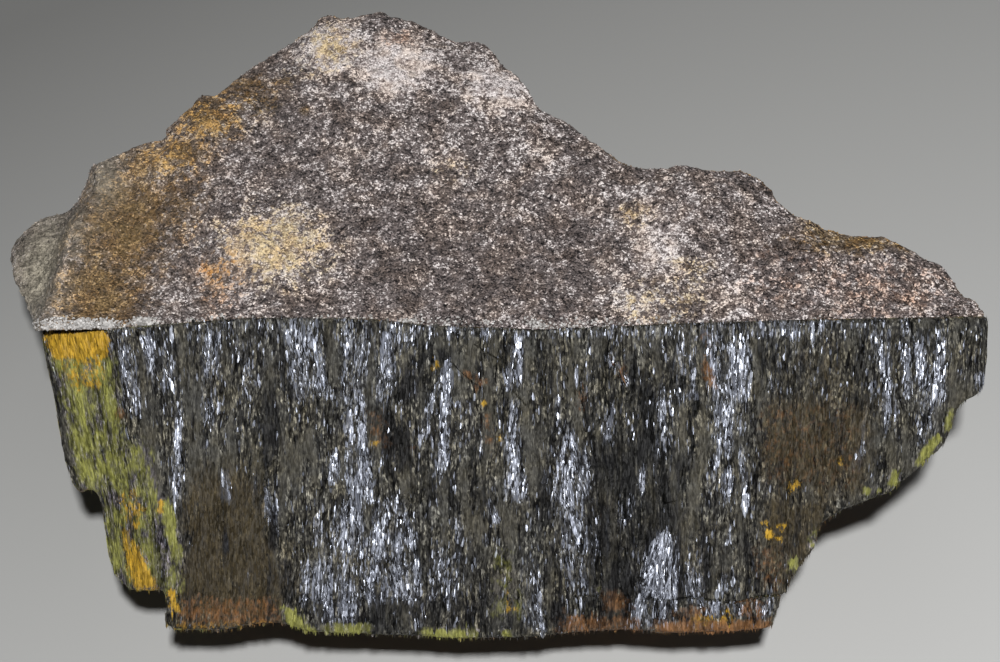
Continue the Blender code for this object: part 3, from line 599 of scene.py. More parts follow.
        (-49.2, -3.1, -48.5, -11.6, 1, 0.7, 0.8), (-49, -9.2, -47.5, -21.4, 0.5, 1, 0.6),
        (-48, -21.2, -47.2, -31, 0.7, 1, 0.75), (-46.3, -15.1, -46.4, -19.2, 1, 1, 0.6),
        (-44.1, -16.8, -44.6, -26.3, 0.7, 1.2, 0.5), (-41, -21.2, -39.4, -29, 0.6, 0.9, 0.95),
        (-42.6, -27.3, -41.6, -32.2, 1, 1, 0.75), (-26.2, -34.6, -23.7, -37.8, 0.5, 1.7, 1.2),
        (-18.7, -36.5, -18.7, -37.7, 2.9, 2.9, 1.1), (-6.1, -37.2, -6.1, -38.2, 3.4, 3.4, 1),
        (0.7, -37.3, 0.7, -38.2, 0.6, 0.6, 0.9), (55.1, -10.2, 54.6, -13.1, 0.24, 0.5, 0.9),
        (53.5, -13.6, 51.2, -17, 0.6, 0.6, 1.1), (48.5, -17.7, 48.1, -19.8, 0.5, 0.6, 1),
        (45, -19.7, 45, -20.7, 0.37, 0.37, 0.8), (46.5, -20, 46.3, -20.6, 0.5, 0.5, 0.7),
        (38.2, -25.1, 38.1, -27.3, 0.37, 0.37, 0.8), (36, -28.5, 35.5, -30, 0.6, 0.5, 0.8),
        (0.6, -27.5, 0.6, -36.4, 1.6, 2.2, 0.24), (11.9, -31.8, 12, -32.8, 0.37, 0.5, 0.6),
    ),
    "rust": (
        (-33.3, -33.4, -33.3, -36.9, 5.6, 6.1, 0.45), (12.2, -35.7, 12.2, -37.6, 4.9, 5.4, 0.6),
        (14.4, -33.4, 14.7, -35.1, 1.5, 2, 0.5), (13.7, -32.4, 14.4, -35.1, 1, 1.5, 0.7),
        (26.3, -36.1, 26.3, -37.7, 6.9, 7.6, 0.9), (23.3, -34.4, 23.3, -35.9, 1.7, 2.4, 0.45),
        (30.8, -33.7, 30.8, -35.6, 1.2, 1.7, 0.5), (25.1, -4, 25.9, -7.7, 0.5, 0.6, 0.75),
        (10, -8.2, 10.2, -10.4, 0.5, 0.5, 0.5), (14.6, -4.7, 14.8, -6.2, 0.5, 0.5, 0.5),
        (-4.2, -5.5, -3.7, -6.7, 0.5, 0.5, 0.4), (-2.4, -6.2, -2.1, -7.5, 0.5, 0.37, 0.6),
        (-1.7, -10.4, -1.2, -15.3, 0.37, 0.37, 0.4), (-10.8, -14.8, -10.8, -15.5, 0.37, 0.37, 0.5),
        (37.3, -9.2, 38.2, -20.2, 6.1, 6.1, 0.13), (38.9, -12.9, 39.2, -17.7, 1.7, 1.7, 0.12),
        (32.4, -26.9, 33.3, -32.4, 2, 1.5, 0.2), (42.2, -9.2, 42.8, -14.1, 1.5, 1.5, 0.12),
        (-46.8, -10.2, -46.3, -11.6, 0.5, 0.5, 0.6), (-15.3, -10.4, -14.1, -15.3, 1, 1.2, 0.3),
        (25.1, -0.6, 25.1, -3.1, 0.5, 0.5, 0.25),
    ),
    "cracks": (       # half width, depth, points
        (0.16, 0.5, ((-3.1, -2.4), (-1.8, -3.3), (0, -4.3))),
        (0.16, 0.5, ((-6.1, -4.5), (-4.7, -5.8), (-3.1, -7.3))),
        (0.16, 0.5, ((0.6, -7.3), (1.8, -8.3), (3.1, -9.8))),
        (0.14, 0.4, ((5.5, -14.1), (7.3, -12.9))),
        (0.14, 0.4, ((20.2, -21.8), (21.4, -21.5))),
        (0.2, 0.9, ((17.1, -33.4), (20.2, -33.7), (23.3, -33.3), (26.3, -33.7), (28.8, -33.9), (31.2, -33.3),
                    (34.3, -33.0))),
        (0.14, 0.4, ((9.2, -33.3), (12.0, -33.2))),
        (0.14, 0.4, ((-24.5, -33.4), (-19.6, -33.7), (-14.7, -33.4), (-9.8, -33.7))),
    ),
    # how far the edge of each finish fades
    "blur": {"silver": 0.65, "dark": 0.8, "brown": 1.7, "ochre": 0.8, "lime": 0.8, "rust": 0.9},
    # crystals of the surface pattern, and the noises that break up masks and tones
    "crystals": {
        "fine": {"Width": 0.0002, "Length": 0.0008, "Tilt": 1.4},
        "wide": {"Width": 0.00038, "Length": 0.0024, "Tilt": 1.0, "Seed": 4.0},
        "grit": {"Width": 0.00019, "Length": 0.00042, "Seed": 7.0},
    },
    "noises": {
        "streak": {"Run": 0.00024, "Stretch": 4.0, "Seed": 3.0},
        "sharp": {"Run": 0.0006, "Stretch": 6.0},
        "loose": {"Run": 0.0014, "Stretch": 2.0, "Seed": 5.0},
        "fleck": {"Run": 0.0006, "Stretch": 1.6, "Seed": 9.0},
    },
    # which noise breaks the edge of each finish, how strongly, and how soft the edge stays
    "masks": {
        "dark": ("sharp", 1.0, 0.4), "brown": ("loose", 1.0, 0.5), "silver": ("sharp", 1.0, 0.5),
        "lime": ("loose", 1.0, 0.35), "ochre": ("fleck", 1.1, 0.25), "rust": ("fleck", 1.1, 0.45),
    },
    # how much lighter one crystal is than another: the times between, for fibrous and for calm places
    "toneSpread": (20.0, 2.4),
    "tones": {"streak": 1.15, "base": 1.09, "wide": 0.5, "grit": 0.78, "fine": 0.45, "most": 6.0},
    "cleftShade": (0.60, 0.72, 0.06),               # painted shade in the clefts between crystals: from which gap it starts and is full, how dark it is
    # painted glints: chance of a crystal painted near white in the glint zones and elsewhere, how it is
    # bunched on the wide ones and lower in the dark patches, and how its painted brightness runs from the
    # faintest crystal, and with the sheen bands and the grit
    "gleam": {"silver": 0.49, "elsewhere": 0.085, "bunch": (0.25, 1.25), "inDark": 0.8,
              "faintest": 0.18, "sheenBands": (0.65, 1.05), "grit": (0.5, 1.2)},
    # how a film's brightness runs with crystals and streaks, and what is left of it over the dark patches
    "grime": {"fine": (0.55, 1.2), "streak": (0.85, 1.7), "inDark": 0.3},
    "cover": {"dark": 0.93, "silver": 0.7, "crust": 0.85, "violet": 0.7, "film": 0.9},
    "metal": 0.6,
    "rough": (0.6, 0.42),                       # dull crystals, bright crystals
    "specular": 0.2,
    "oliveColour": (0.074, 0.067, 0.049),
    "greyColour": (0.066, 0.064, 0.056),
    # painted sheen: the bluish grey painted over the glint zones
    "paintedSheenColour": (0.098, 0.105, 0.128),
    "darkColour": (0.006, 0.006, 0.007),
    "brownColour": (0.049, 0.038, 0.0205),
    # painted glint colours: near white for the brightest glints, bluish grey for the dimmest
    "silverColour": (0.78, 0.82, 0.92),
    "paintedDimGlintColour": (0.10, 0.11, 0.15),
    "ochreColour": (0.58, 0.345, 0.030),
    "limeColour": (0.31, 0.31, 0.075),
    "rustColour": (0.25, 0.118, 0.045),
    "crustColour": (0.10, 0.062, 0.030),
    "violetColour": (0.090, 0.080, 0.095),
}


def needleLean(u):
    mostLeft, leftFrom, leftTo = goethite["leanLeft"]
    mostRight, rightFrom, rightTo = goethite["leanRight"]
    return mostLeft * smoothStep(leftFrom, leftTo, u) + mostRight * smoothStep(rightFrom, rightTo, u)


def crystalTones(tree, crystals, streak, calm):
    # darker and lighter crystals, quieter on smooth plates and stains, with painted shade darkening the
    # clefts between wide ones
    tones = goethite["tones"]
    level = minus(tree, times(tree, streak, tones["streak"]), tones["base"])
    for name in ("wide", "grit", "fine"):
        level = plus(tree, level, times(tree, crystals[name]["Value"], tones[name]))
    shade = mathNode(tree, "POWER", mapRange(tree, calm, *goethite["toneSpread"]), level)
    start, full, darkness = goethite["cleftShade"]
    gap = minus(tree, crystals["wide"]["Gap"], times(tree, calm, 0.3))
    paintedCleftShade = mapRange(tree, rampValue(tree, gap, start, full), 1.0, darkness)
    return mathNode(tree, "MINIMUM", times(tree, shade, paintedCleftShade), tones["most"])


def crystalGleam(tree, crystals, sheenBands, calm, dark):
    # painted glints: crystals painted near white, bunched where a wide crystal would catch the light,
    # and the needles whose shine is painted the same way
    gleam, fine = goethite["gleam"], crystals["fine"]
    bunch = mapRange(tree, crystals["wide"]["Second"], *gleam["bunch"])
    chance = times(tree, sheenBands, bunch, gleam["silver"])
    chance = plus(tree, chance, mapRange(tree, calm, gleam["elsewhere"], 0.0))
    chance = times(tree, chance, mapRange(tree, dark, 1.0, gleam["inDark"]))
    over = minus(tree, plus(tree, fine["Second"], chance), 1.0)
    strength = mapRange(tree, mathNode(tree, "POWER", fine["Value"], 1.7), gleam["faintest"], 1.0)
    glint = times(tree, rampValue(tree, over, 0.0, 0.08), strength, mapRange(tree, sheenBands, *gleam["sheenBands"]),
                mapRange(tree, crystals["grit"]["Value"], *gleam["grit"]))
    return mathNode(tree, "MAXIMUM", glint, attributeValue(tree, "shine"))


def goethiteMaterial():
    material, tree, shader = startMaterial("silkyGoethite")
    space = placeGroup(tree, fibreSpace, {"Lean": attributeValue(tree, "lean")})["Place"]
    crystals = {name: placeGroup(tree, blades, {"Place": space, **size})
                for name, size in goethite["crystals"].items()}
    noises = {name: placeGroup(tree, ragged, {"Place": space, **size})["Value"]
              for name, size in goethite["noises"].items()}
    masks = {}
    for name, (kind, share, softness) in goethite["masks"].items():
        masks[name] = maskFrom(tree, name, times(tree, noises[kind], share), softness)
    dark, brown, sheenBands = masks["dark"], masks["brown"], masks["silver"]
    crust, cover = attributeValue(tree, "crust"), goethite["cover"]

    colour = mixColour(tree, softValue(tree, 0.004, 1.0), goethite["oliveColour"], goethite["greyColour"])
    colour = mixColour(tree, brown, colour, goethite["brownColour"])
    # the dark patches, the painted bluish sheen of the glint zones and the crust each take their colour
    for mask, share, tint in ((dark, cover["dark"], "darkColour"), (sheenBands, cover["silver"], "paintedSheenColour"),
                              (crust, cover["crust"], "crustColour")):
        colour = mixColour(tree, times(tree, mask, share), colour, goethite[tint])
    calm = mathNode(tree, "MAXIMUM", attributeValue(tree, "plates"), brown, crust)
    shade = crystalTones(tree, crystals, noises["streak"], calm)
    colour = scaleVector(tree, colour, shade)
    # painted glints: bright crystals get a near-white painted glint colour in the base colour, here called
    # metal, and turn metallic and smooth
    glint = crystalGleam(tree, crystals, sheenBands, calm, dark)
    metal = mixColour(tree, glint, goethite["paintedDimGlintColour"], goethite["silverColour"])
    colour = mixColour(tree, rampValue(tree, glint, 0.0, 0.25), colour, metal)

    # violet grey shows between the patches of lime
    flank = rampValue(tree, attributeValue(tree, "lime"), 0.15, 0.45)
    violet = scaleVector(tree, goethite["violetColour"], shade)
    colour = mixColour(tree, times(tree, flank, cover["violet"]), colour, violet)
    # dusty films, thinner over the dark patches
    films = goethite["grime"]
    bare = mapRange(tree, dark, 1.0, films["inDark"])
    grime = times(tree, mapRange(tree, crystals["fine"]["Value"], *films["fine"]),
                  mapRange(tree, noises["streak"], *films["streak"]))
    dust = 0.0
    for name in ("lime", "ochre", "rust"):
        mask = times(tree, masks[name], bare)
        tinted = scaleVector(tree, goethite[name + "Colour"], grime)
        colour = mixColour(tree, times(tree, mask, cover["film"]), colour, tinted)
        dust = mathNode(tree, "MAXIMUM", mask, dust)
    tree.links.new(colour, shader.inputs["Base Color"])
    clean = minus(tree, 1.0, dust)
    bright = times(tree, rampValue(tree, glint, 0.0, 0.4), clean)
    tree.links.new(times(tree, bright, goethite["metal"]), shader.inputs["Metallic"])
    tree.links.new(mapRange(tree, bright, *goethite["rough"]), shader.inputs["Roughness"])
    shader.inputs["Specular IOR Level"].default_value = goethite["specular"]
    linkBump(tree, shader, crystals["fine"]["Height"], crystals["wide"]["Height"], 0.9)
    return material


def goethiteRelief(places, along, crust, plates):
    # fibrous grooves, calmer on the smooth plates, and the bubbles of the front crust
    relief = np.zeros(len(places))
    for seed, (width, depth) in enumerate(goethite["grooves"]):
        ridges = 1 - 2 * np.abs(softNoise(along, (width, width * goethite["grooveStretch"], width), seed))
        relief += depth * ridges * (1 - crust)
    relief *= 1 - goethite["plates"]["calm"] * plates
    relief += goethite["plates"]["proud"] * plates * (1 - crust)
    for seed, (size, rise) in enumerate(goethite["crustLumps"]):
        domes = 1 - np.minimum(cellNoise(places, size, seed + 5), 1) ** 2
        relief += rise * (domes - 0.75) * crust
    return relief


def goethiteFilms(places, along, side, crust):
    # films and stains on the sides, thicker at the left end or on the crust, and dark streaks all over
    left = smoothStep(-34, -42, places[:, 0])
    return {
        "lime": side * (0.22 + 0.42 * left) * (0.9 + 0.5 * softNoise(places, (2.6, 2.6, 5), 41)),
        "ochre": side * (0.16 + 0.26 * left) * smoothStep(-0.3, 0.5, softNoise(places, (2.2, 2.2, 4), 43)),
        "rust": side * (0.25 + 0.45 * crust) * smoothStep(-0.3, 0.4, softNoise(places, (6, 6, 6), 47)),
        "dark": 0.5 * smoothStep(0.15, 0.55, softNoise(along, (1.2, 8.0, 1.2), 37)),
        "brown": side * 0.5 * smoothStep(-0.1, 0.4, softNoise(places, (9, 9, 9), 53)),
    }


def dressGoethite(material):
    mesh = stoneSurface("goethite_needles", goethite["voxel"])
    openCracks(mesh, goethite["cracks"])
    places, normals = vertexPlaces(mesh), vertexNormals(mesh)
    u, v, n = places.T
    lean = needleLean(u)
    along = np.column_stack([u + lean * v, v, n])
    free, contact = freePlaces(places, normals, 1)
    crust = smoothStep(0.35, 0.8, -normals[:, 1]) * smoothStep(-0.6, -2.5, n)
    face = smoothStep(0.2, 0.7, normals[:, 2])
    plateRun, plateSeed = goethite["plates"]["run"], goethite["plates"]["seed"]
    plates = smoothStep(0.0, 0.22, softNoise(along, plateRun, plateSeed))
    shift = normals * (goethiteRelief(places, along, crust, plates) * free)[:, None]
    shift[:, 1] += slab["contactGrow"] * contact
    moveVertices(mesh, shift)

    # glint zones for the painted glints and sheen, broken up by streaks, and kept to the broad face
    silver, fans = wedges(places, goethite["silver"], goethite["blur"]["silver"])
    streaks = softNoise(along, goethite["streakRun"], 31)
    silver = np.clip(silver * (1.0 + 1.1 * streaks) + 0.15 * smoothStep(0.1, 0.6, streaks), 0, 1)
    # the zones fade down the sides, where the films take over
    side = 1 - face
    zoneFade = face + side * smoothStep(-7, -0.5, n + 1.5 * streaks)
    finishes = {}
    for name, film in goethiteFilms(places, along, side, crust).items():
        spread = wedges(places, goethite[name], goethite["blur"][name])[0] * zoneFade
        finishes[name] = np.clip(spread + film, 0, 1.3)
    slant = -lean + fans
    storeNumbers(mesh, {
        "silver": silver * face, "plates": plates * np.clip(1 - 1.5 * silver * face, 0, 1), **finishes,
        "room": roomAlong(mesh, vertexNormals(mesh), slant, goethite["mostRoom"]),
        "lean": lean, "slant": slant, "crust": crust, "fibrous": (1 - crust) * free})
    return finishStone("goethite_body", mesh, ~free, material)


# Single needles, grown over the goethite's fibrous sides: lengths and widths in mm, turns in degrees,
# the chance of a painted glint everywhere and in the glint zones, and the share that grows only in the glint
# zones
needleKinds = {
    "blades": {"count": 1900, "length": (1.4, 4.2), "width": (0.3, 0.85), "thick": 0.2, "roll": 12.0,
               "pitch": 1.0, "sway": 0.05, "bright": (0.0, 0.35), "rings": 3, "seed": 3, "glintZoneOnly": 0.45},
    "fibres": {"count": 11000, "length": (0.6, 2.2), "width": (0.07, 0.15), "thick": 0.6, "roll": 25.0,
               "pitch": 2.0, "sway": 0.06, "bright": (0.06, 0.38), "rings": 2, "seed": 5, "glintZoneOnly": 0.15},
    "glints": {"count": 22000, "length": (0.3, 1.6), "width": (0.05, 0.12), "thick": 0.8, "roll": 25.0,
               "pitch": 4.0, "sway": 0.17, "bright": (0.06, 0.70), "rings": 2, "seed": 8, "glintZoneOnly": 0.93},
}


needleGrowth = {
    "onPlates": (1.4, 0.1),     # how thickly they grow, from rough places to smooth plates
    "leastRoll": 0.15,          # what is left of the roll in a full glint zone
    "pastRoom": 1.8,            # longest needle, as a share of the room on its shorter side
    "glowPower": 2.2,           # how rare the brightest needles are
    "glow": (0.12, 1.0),
    "glintZoneGlow": (0.6, 1.1),
}


def startScatter(name, floats, others):
    # a tree with named inputs that gives back geometry
    tree = bpy.data.node_groups.new(name, "GeometryNodeTree")
    tree.interface.new_socket("Geometry", in_out="OUTPUT", socket_type="NodeSocketGeometry")
    sockets = {"Geometry": "Geometry", **{label: "Float" for label in floats}, **others}
    for label, kind in sockets.items():
        tree.interface.new_socket(label, in_out="INPUT", socket_type="NodeSocket" + kind)
    return tree, addNode(tree, "NodeGroupInput").outputs


def spreadPoints(tree, given, weight):
    # random points on the surface, as many as the density and the weight ask for
    return addNode(tree, "GeometryNodeDistributePointsOnFaces", {
        "Mesh": given["Geometry"], "Density": times(tree, given["Density"], *weight), "Seed": given["Seed"]},
        distribute_method="RANDOM").outputs


def placeShapes(tree, points, shape, turn, scale):
    return addNode(tree, "GeometryNodeInstanceOnPoints", {
        "Points": points["Points"], "Instance": shape, "Rotation": turn, "Scale": scale}).outputs[0]


def randomBetween(tree, given, low, high, shift):
    # a random number, or a vector if low is one, for each point; shift sets its draws apart
    seed = addNode(tree, "FunctionNodeIntegerMath", {0: given["Seed"], 1: shift}, operation="ADD")
    kind, first, out = ("FLOAT_VECTOR", 0, 0) if isinstance(low, tuple) else ("FLOAT", 2, 1)
    made = addNode(tree, "FunctionNodeRandomValue", {first: low, first + 1: high, 8: seed.outputs[0]},
                   data_type=kind)
    return made.outputs[out]


def endScatter(tree, given, geometry):
    real = addNode(tree, "GeometryNodeRealizeInstances", {"Geometry": geometry})
    flat = addNode(tree, "GeometryNodeSetShadeSmooth", {"Geometry": real.outputs[0], "Shade Smooth": False})
    finished = addNode(tree, "GeometryNodeSetMaterial", {
        "Geometry": flat.outputs[0], "Material": given["Material"]})
    return endGroup(tree, {"Geometry": finished.outputs[0]})


def namedValue(tree, name):
    made = addNode(tree, "GeometryNodeInputNamedAttribute", {"Name": name}, data_type="FLOAT")
    return made.outputs[0]


def inRadians(tree, degrees):
    return addNode(tree, "ShaderNodeMath", {0: degrees}, operation="RADIANS").outputs[0]


def spindleMesh(tree, rings):
    # a slim spindle along y, a millimetre across and long before it is scaled, with a flat side up
    spindle = addNode(tree, "GeometryNodeMeshUVSphere", {"Segments": 4, "Rings": rings, "Radius": 0.5 * mm})
    upright = addNode(tree, "GeometryNodeTransform", {
        "Geometry": spindle.outputs[0], "Rotation": (math.radians(90), 0, 0)})
    squared = addNode(tree, "GeometryNodeTransform", {
        "Geometry": upright.outputs[0], "Rotation": (0, math.radians(45), 0)})
    return squared.outputs[0]


def needleTree():
    # scatters needles over the surface that it is given, and gives back only the needles
    tree, given = startScatter("scatterNeedles", (
        "Density", "Glint Zone Only", "Shortest", "Longest", "Thinnest", "Widest", "Thickness", "Roll", "Pitch",
        "Sway", "Bright Everywhere", "Bright In Glint Zone"),
        {"Rings": "Int", "Seed": "Int", "Material": "Material"})
    silver = namedValue(tree, "silver")
    stains = (namedValue(tree, name) for name in ("ochre", "lime", "rust", "brown"))
    stain = mathNode(tree, "MAXIMUM", *stains)
    where = addNode(tree, "ShaderNodeMix", {0: given["Glint Zone Only"], 2: 1.0, 3: silver}, data_type="FLOAT")
    calm = mapRange(tree, namedValue(tree, "plates"), *needleGrowth["onPlates"])
    rough = times(tree, namedValue(tree, "fibrous"), calm)
    points = spreadPoints(tree, given, (where.outputs[0], rough))

    # a needle lies along the fibres, with its flat side out
    slope = math.radians(slab["faceSlope"])
    sway = times(tree, given["Sway"], randomBetween(tree, given, -1.0, 1.0, 1))
    sideways = plus(tree, namedValue(tree, "slant"), sway)
    fibre = addNode(tree, "ShaderNodeCombineXYZ", {0: sideways, 1: math.cos(slope), 2: math.sin(slope)})
    lie = addNode(tree, "FunctionNodeAxesToRotation", {0: fibre.outputs[0], 1: points["Normal"]},
                  primary_axis="Y", secondary_axis="Z")
    roll = times(tree, given["Roll"], randomBetween(tree, given, -1.0, 1.0, 2))
    rollOut = times(tree, roll, minus(tree, 1 + needleGrowth["leastRoll"], silver))
    pitch = times(tree, given["Pitch"], randomBetween(tree, given, -1.0, 1.0, 3))
    tilt = addNode(tree, "ShaderNodeCombineXYZ", {0: inRadians(tree, pitch), 1: inRadians(tree, rollOut)})
    tiltTurn = addNode(tree, "FunctionNodeEulerToRotation", {0: tilt.outputs[0]})
    turned = addNode(tree, "FunctionNodeRotateRotation", {0: lie.outputs[0], 1: tiltTurn.outputs[0]},
                     rotation_space="LOCAL")

    width = randomBetween(tree, given, given["Thinnest"], given["Widest"], 4)
    length = randomBetween(tree, given, given["Shortest"], given["Longest"], 5)
    room = namedValue(tree, "room")
    length = mathNode(tree, "MINIMUM", length, times(tree, room, needleGrowth["pastRoom"]))
    scale = addNode(tree, "ShaderNodeCombineXYZ", {
        0: width, 1: length, 2: times(tree, width, given["Thickness"])})
    placed = placeShapes(tree, points, spindleMesh(tree, given["Rings"]), turned.outputs[0], scale.outputs[0])

    # how brightly it shines, kept as an attribute that the material paints in as a near-white painted glint
    chance = addNode(tree, "ShaderNodeMath", {
        0: silver, 1: given["Bright In Glint Zone"], 2: given["Bright Everywhere"]}, operation="MULTIPLY_ADD")
    chance = times(tree, chance.outputs[0], minus(tree, 1.0, stain, clamp=True))
    glint = mathNode(tree, "LESS_THAN", randomBetween(tree, given, 0.0, 1.0, 6), chance)
    glow = mathNode(tree, "POWER", randomBetween(tree, given, 0.0, 1.0, 7), needleGrowth["glowPower"])
    shine = times(tree, glint, mapRange(tree, glow, *needleGrowth["glow"]),
                  mapRange(tree, silver, *needleGrowth["glintZoneGlow"]))
    kept = addNode(tree, "GeometryNodeStoreNamedAttribute", {
        "Geometry": placed, "Name": "shine", "Value": shine}, data_type="FLOAT", domain="INSTANCE")
    return endScatter(tree, given, kept.outputs[0])


def runTree(name, tree, surface, values):
    # the tree's result on a copy of the surface, as a plain mesh of its own
    carrier = linkObject(name + "_carrier", surface.data.copy())
    modifier = carrier.modifiers.new("grow", "NODES")
    modifier.node_group = tree
    for item in tree.interface.items_tree:
        if item.item_type == "SOCKET" and item.in_out == "INPUT" and item.name in values:
            modifier[item.identifier] = values[item.name]
    made = linkObject(name, plainMesh(carrier, name))
    bpy.data.objects.remove(carrier)
    places = readVectors(made.data, "co")
    places[:, 2] = np.maximum(places[:, 2], 0)      # nothing pokes through what it rests on
    made.data.vertices.foreach_set("co", places.ravel())
    print(name, len(made.data.polygons), "faces")
    return made


def surfaceArea(mesh, weightName):
    # area weighted by an attribute, so that a count of needles gives their density
    weights = np.empty(len(mesh.vertices), np.float32)
    mesh.attributes[weightName].data.foreach_get("value", weights)
    total = 0.0
    for face in mesh.polygons:
        total += face.area * weights[face.vertices[0]]
    return total


def growNeedles(body, material):
    tree = needleTree()
    fibrousArea = surfaceArea(body.data, "fibrous")
    glintZoneArea = surfaceArea(body.data, "silver")
    for kind, spec in needleKinds.items():
        area = fibrousArea * (1 - spec["glintZoneOnly"]) + glintZoneArea * spec["glintZoneOnly"]
        piece = runTree("needles_" + kind, tree, body, {
            "Density": spec["count"] / area, "Glint Zone Only": spec["glintZoneOnly"],
            "Shortest": spec["length"][0], "Longest": spec["length"][1],
            "Thinnest": spec["width"][0], "Widest": spec["width"][1], "Thickness": spec["thick"],
            "Roll": spec["roll"], "Pitch": spec["pitch"], "Sway": spec["sway"],
            "Bright Everywhere": spec["bright"][0], "Bright In Glint Zone": spec["bright"][1],
            "Rings": spec["rings"], "Seed": spec["seed"], "Material": material})
        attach(piece, "root")


# The rock. A soft spot is u, v, run along u, run along v and strength. The voxel, the cells, the
# coarse grains and the clouds are in metres, the rest in millimetres.
rock = {
    "voxel": 0.00045,
    "lumps": ((3.6, 0.24), (1.3, 0.16)),        # size and height of the soft unevenness
    "grain": (1.0, 0.22),                       # size and height of the coarse grains
    "pale": (
        (-28.7, 9.8, 7, 5, 1.12), (-33, 6, 4.5, 5, 0.7), (-22.5, 37.3, 4.4, 3.8, 1.6),
        (-14, 34.7, 6, 4.6, 1.45), (0, 31.6, 6, 4.3, 1.1), (20, 11, 5, 7, 0.72), (18, 3, 5, 3, 0.7),
        (28, 4, 6, 4, 0.5), (-7, 21, 3, 2, 0.5), (-13, 36, 9, 4, 0.45), (-2, 22, 14, 12, 0.28),
        (48, 4, 12, 4, 0.25), (-15, 20, 12, 9, 0.22), (14, 16, 5, 4, 0.4), (-22, 30, 5, 4, 0.4),
        (-54.5, 8, 0.5, 8, 0.8), (-44, 23, 6, 4, 0.65), (-39, 26, 6, 4, 0.6),
    ),
    "yellow": (
        (-28.7, 9.8, 6.5, 4.5, 0.85), (-22.7, 37.3, 3.2, 3, 0.75), (-27, 33, 3, 2, 0.3),
        (45, 10.6, 7, 1.5, 1.0), (40.5, 12.2, 2.5, 1.5, 0.9), (20, 3, 5, 3, 0.45), (-6, 20, 2.5, 1.5, 0.4),
        (17, 14, 2, 1.5, 0.5), (-32, 29.5, 3, 2.5, 0.5), (24, 7, 3, 2, 0.35), (-38, 27.3, 4.5, 3.5, 0.9),
        (-42, 22.7, 4, 3, 0.6),
    ),
    "ochre": (
        (-48, 13, 6, 8, 1.0), (-50, 4, 5.5, 6, 1.0), (-46, 21, 4, 3, 0.8), (-41, 22.5, 3.5, 2, 1.0),
        (-38.5, 27.3, 4.5, 3.6, 0.75), (-33.5, 31, 3.5, 2.5, 0.55), (-25.6, 28, 0.5, 0.5, 1.0),
        (-42, 16, 4, 6, 0.55), (-35, 6, 2.5, 3, 0.4), (-34, 32, 4, 1.6, 0.6), (45.5, 10.5, 8, 1.1, 0.5),
    ),
    "red": ((48, 4, 9, 4, 0.45), (-34.5, 5.5, 3, 3.5, 0.6), (36, 6, 6, 4, 0.35), (-13.5, 38.5, 2, 1, 0.8)),
    "plain": ((-2, 7, 15, 7, 1.0), (-8, 15, 10, 6, 0.8), (9, 12, 6, 6, 0.6), (-24, 22, 6, 4, 0.5)),
    "grey": ((-59.5, 7, 4.2, 9, 1.2), (-51, 19, 2.5, 4, 0.7), (-55, 12, 3, 5, 0.6)),
    "cracks": (       # half width, depth, points
        (0.2, 0.6, ((-28.2, 22.0), (-25.7, 22.5), (-23.3, 22.3), (-20.8, 22.8), (-19.0, 22.6))),
        (0.18, 0.5, ((-7.5, 15.1), (-5.5, 14.6), (-3.7, 14.8), (-2.2, 15.1))),
        (0.16, 0.5, ((5.5, 14.8), (7.1, 14.4))),
        (0.16, 0.5, ((-12.9, 12.1), (-10.4, 11.5), (-8.1, 12.0))),
        (0.16, 0.5, ((1.0, 15.8), (2.0, 15.2), (3.1, 14.8))),
        (0.22, 0.6, ((24.5, 11.9), (28.2, 10.4), (31.8, 10.0), (36.7, 9.4), (39.4, 9.2))),
    ),
    # patches of the sides and the back: strength, from which noise level to which, size, seed
    "films": {
        "pale": (0.55, 0.0, 0.5, 9, 61), "yellow": (0.5, 0.2, 0.5, 7, 63),
        "ochre": (0.75, 0.05, 0.45, 12, 65), "red": (0.45, 0.2, 0.5, 8, 67),
    },
    "cells": {"Size": 0.0002, "Tilt": 1.4},
    "coarse": {"Size": 0.0006, "Seed": 5.0},
    # clouds of lighter and darker grains: size, seed, from which noise level to which
    "cloud": (0.0010, 0.3, 0.38, 0.64),
    "mottled": (0.0030, 1.7, 0.36, 0.64),
    "broad": (0.009, 0.6, 0.3, 0.7),
    "warm": (0.0035, 0.9, 0.4, 0.65),
    # what a grain's place between the darkest and the whitest is made up of
    "levels": {"cells": 0.52, "coarse": 0.15, "base": 0.060, "plain": 0.065,
               "cloud": 0.14, "mottled": 0.12, "broad": 0.06, "wisp": 0.20},
    "paste": (0.35, 0.454),                     # spread and middle of the grains in the pale patches
    "edges": {"grain": 0.7, "softness": 0.5},   # how far a patch follows the grains, and how soft it ends
    # how the brown film's brightness and cover run with the grains and clouds, and the lump's brightness
    "filmGrain": (0.6, 1.45),
    "filmCloud": (0.35, 0.75),
    "lumpCloud": (0.7, 1.3),
    "grainColours": (       # from the darkest grains to the whitest
        (0.02, (0.012, 0.010, 0.011)), (0.19, (0.034, 0.028, 0.028)), (0.29, (0.105, 0.086, 0.082)),
        (0.50, (0.160, 0.131, 0.124)), (0.60, (0.350, 0.295, 0.285)), (0.72, (0.920, 0.850, 0.830))),
    "warmTint": (1.02, 0.95, 0.87),
    "yellowTint": (0.92, 0.80, 0.50),
    "ochreTint": (1.05, 0.78, 0.42),
    "redTint": (0.92, 0.74, 0.63),
    "stainColour": (0.195, 0.130, 0.052),
    "lumpColour": (0.350, 0.315, 0.245),
    "lumpCover": 0.8,
    "rough": (0.25, 0.8),
    "specular": 0.4,
}


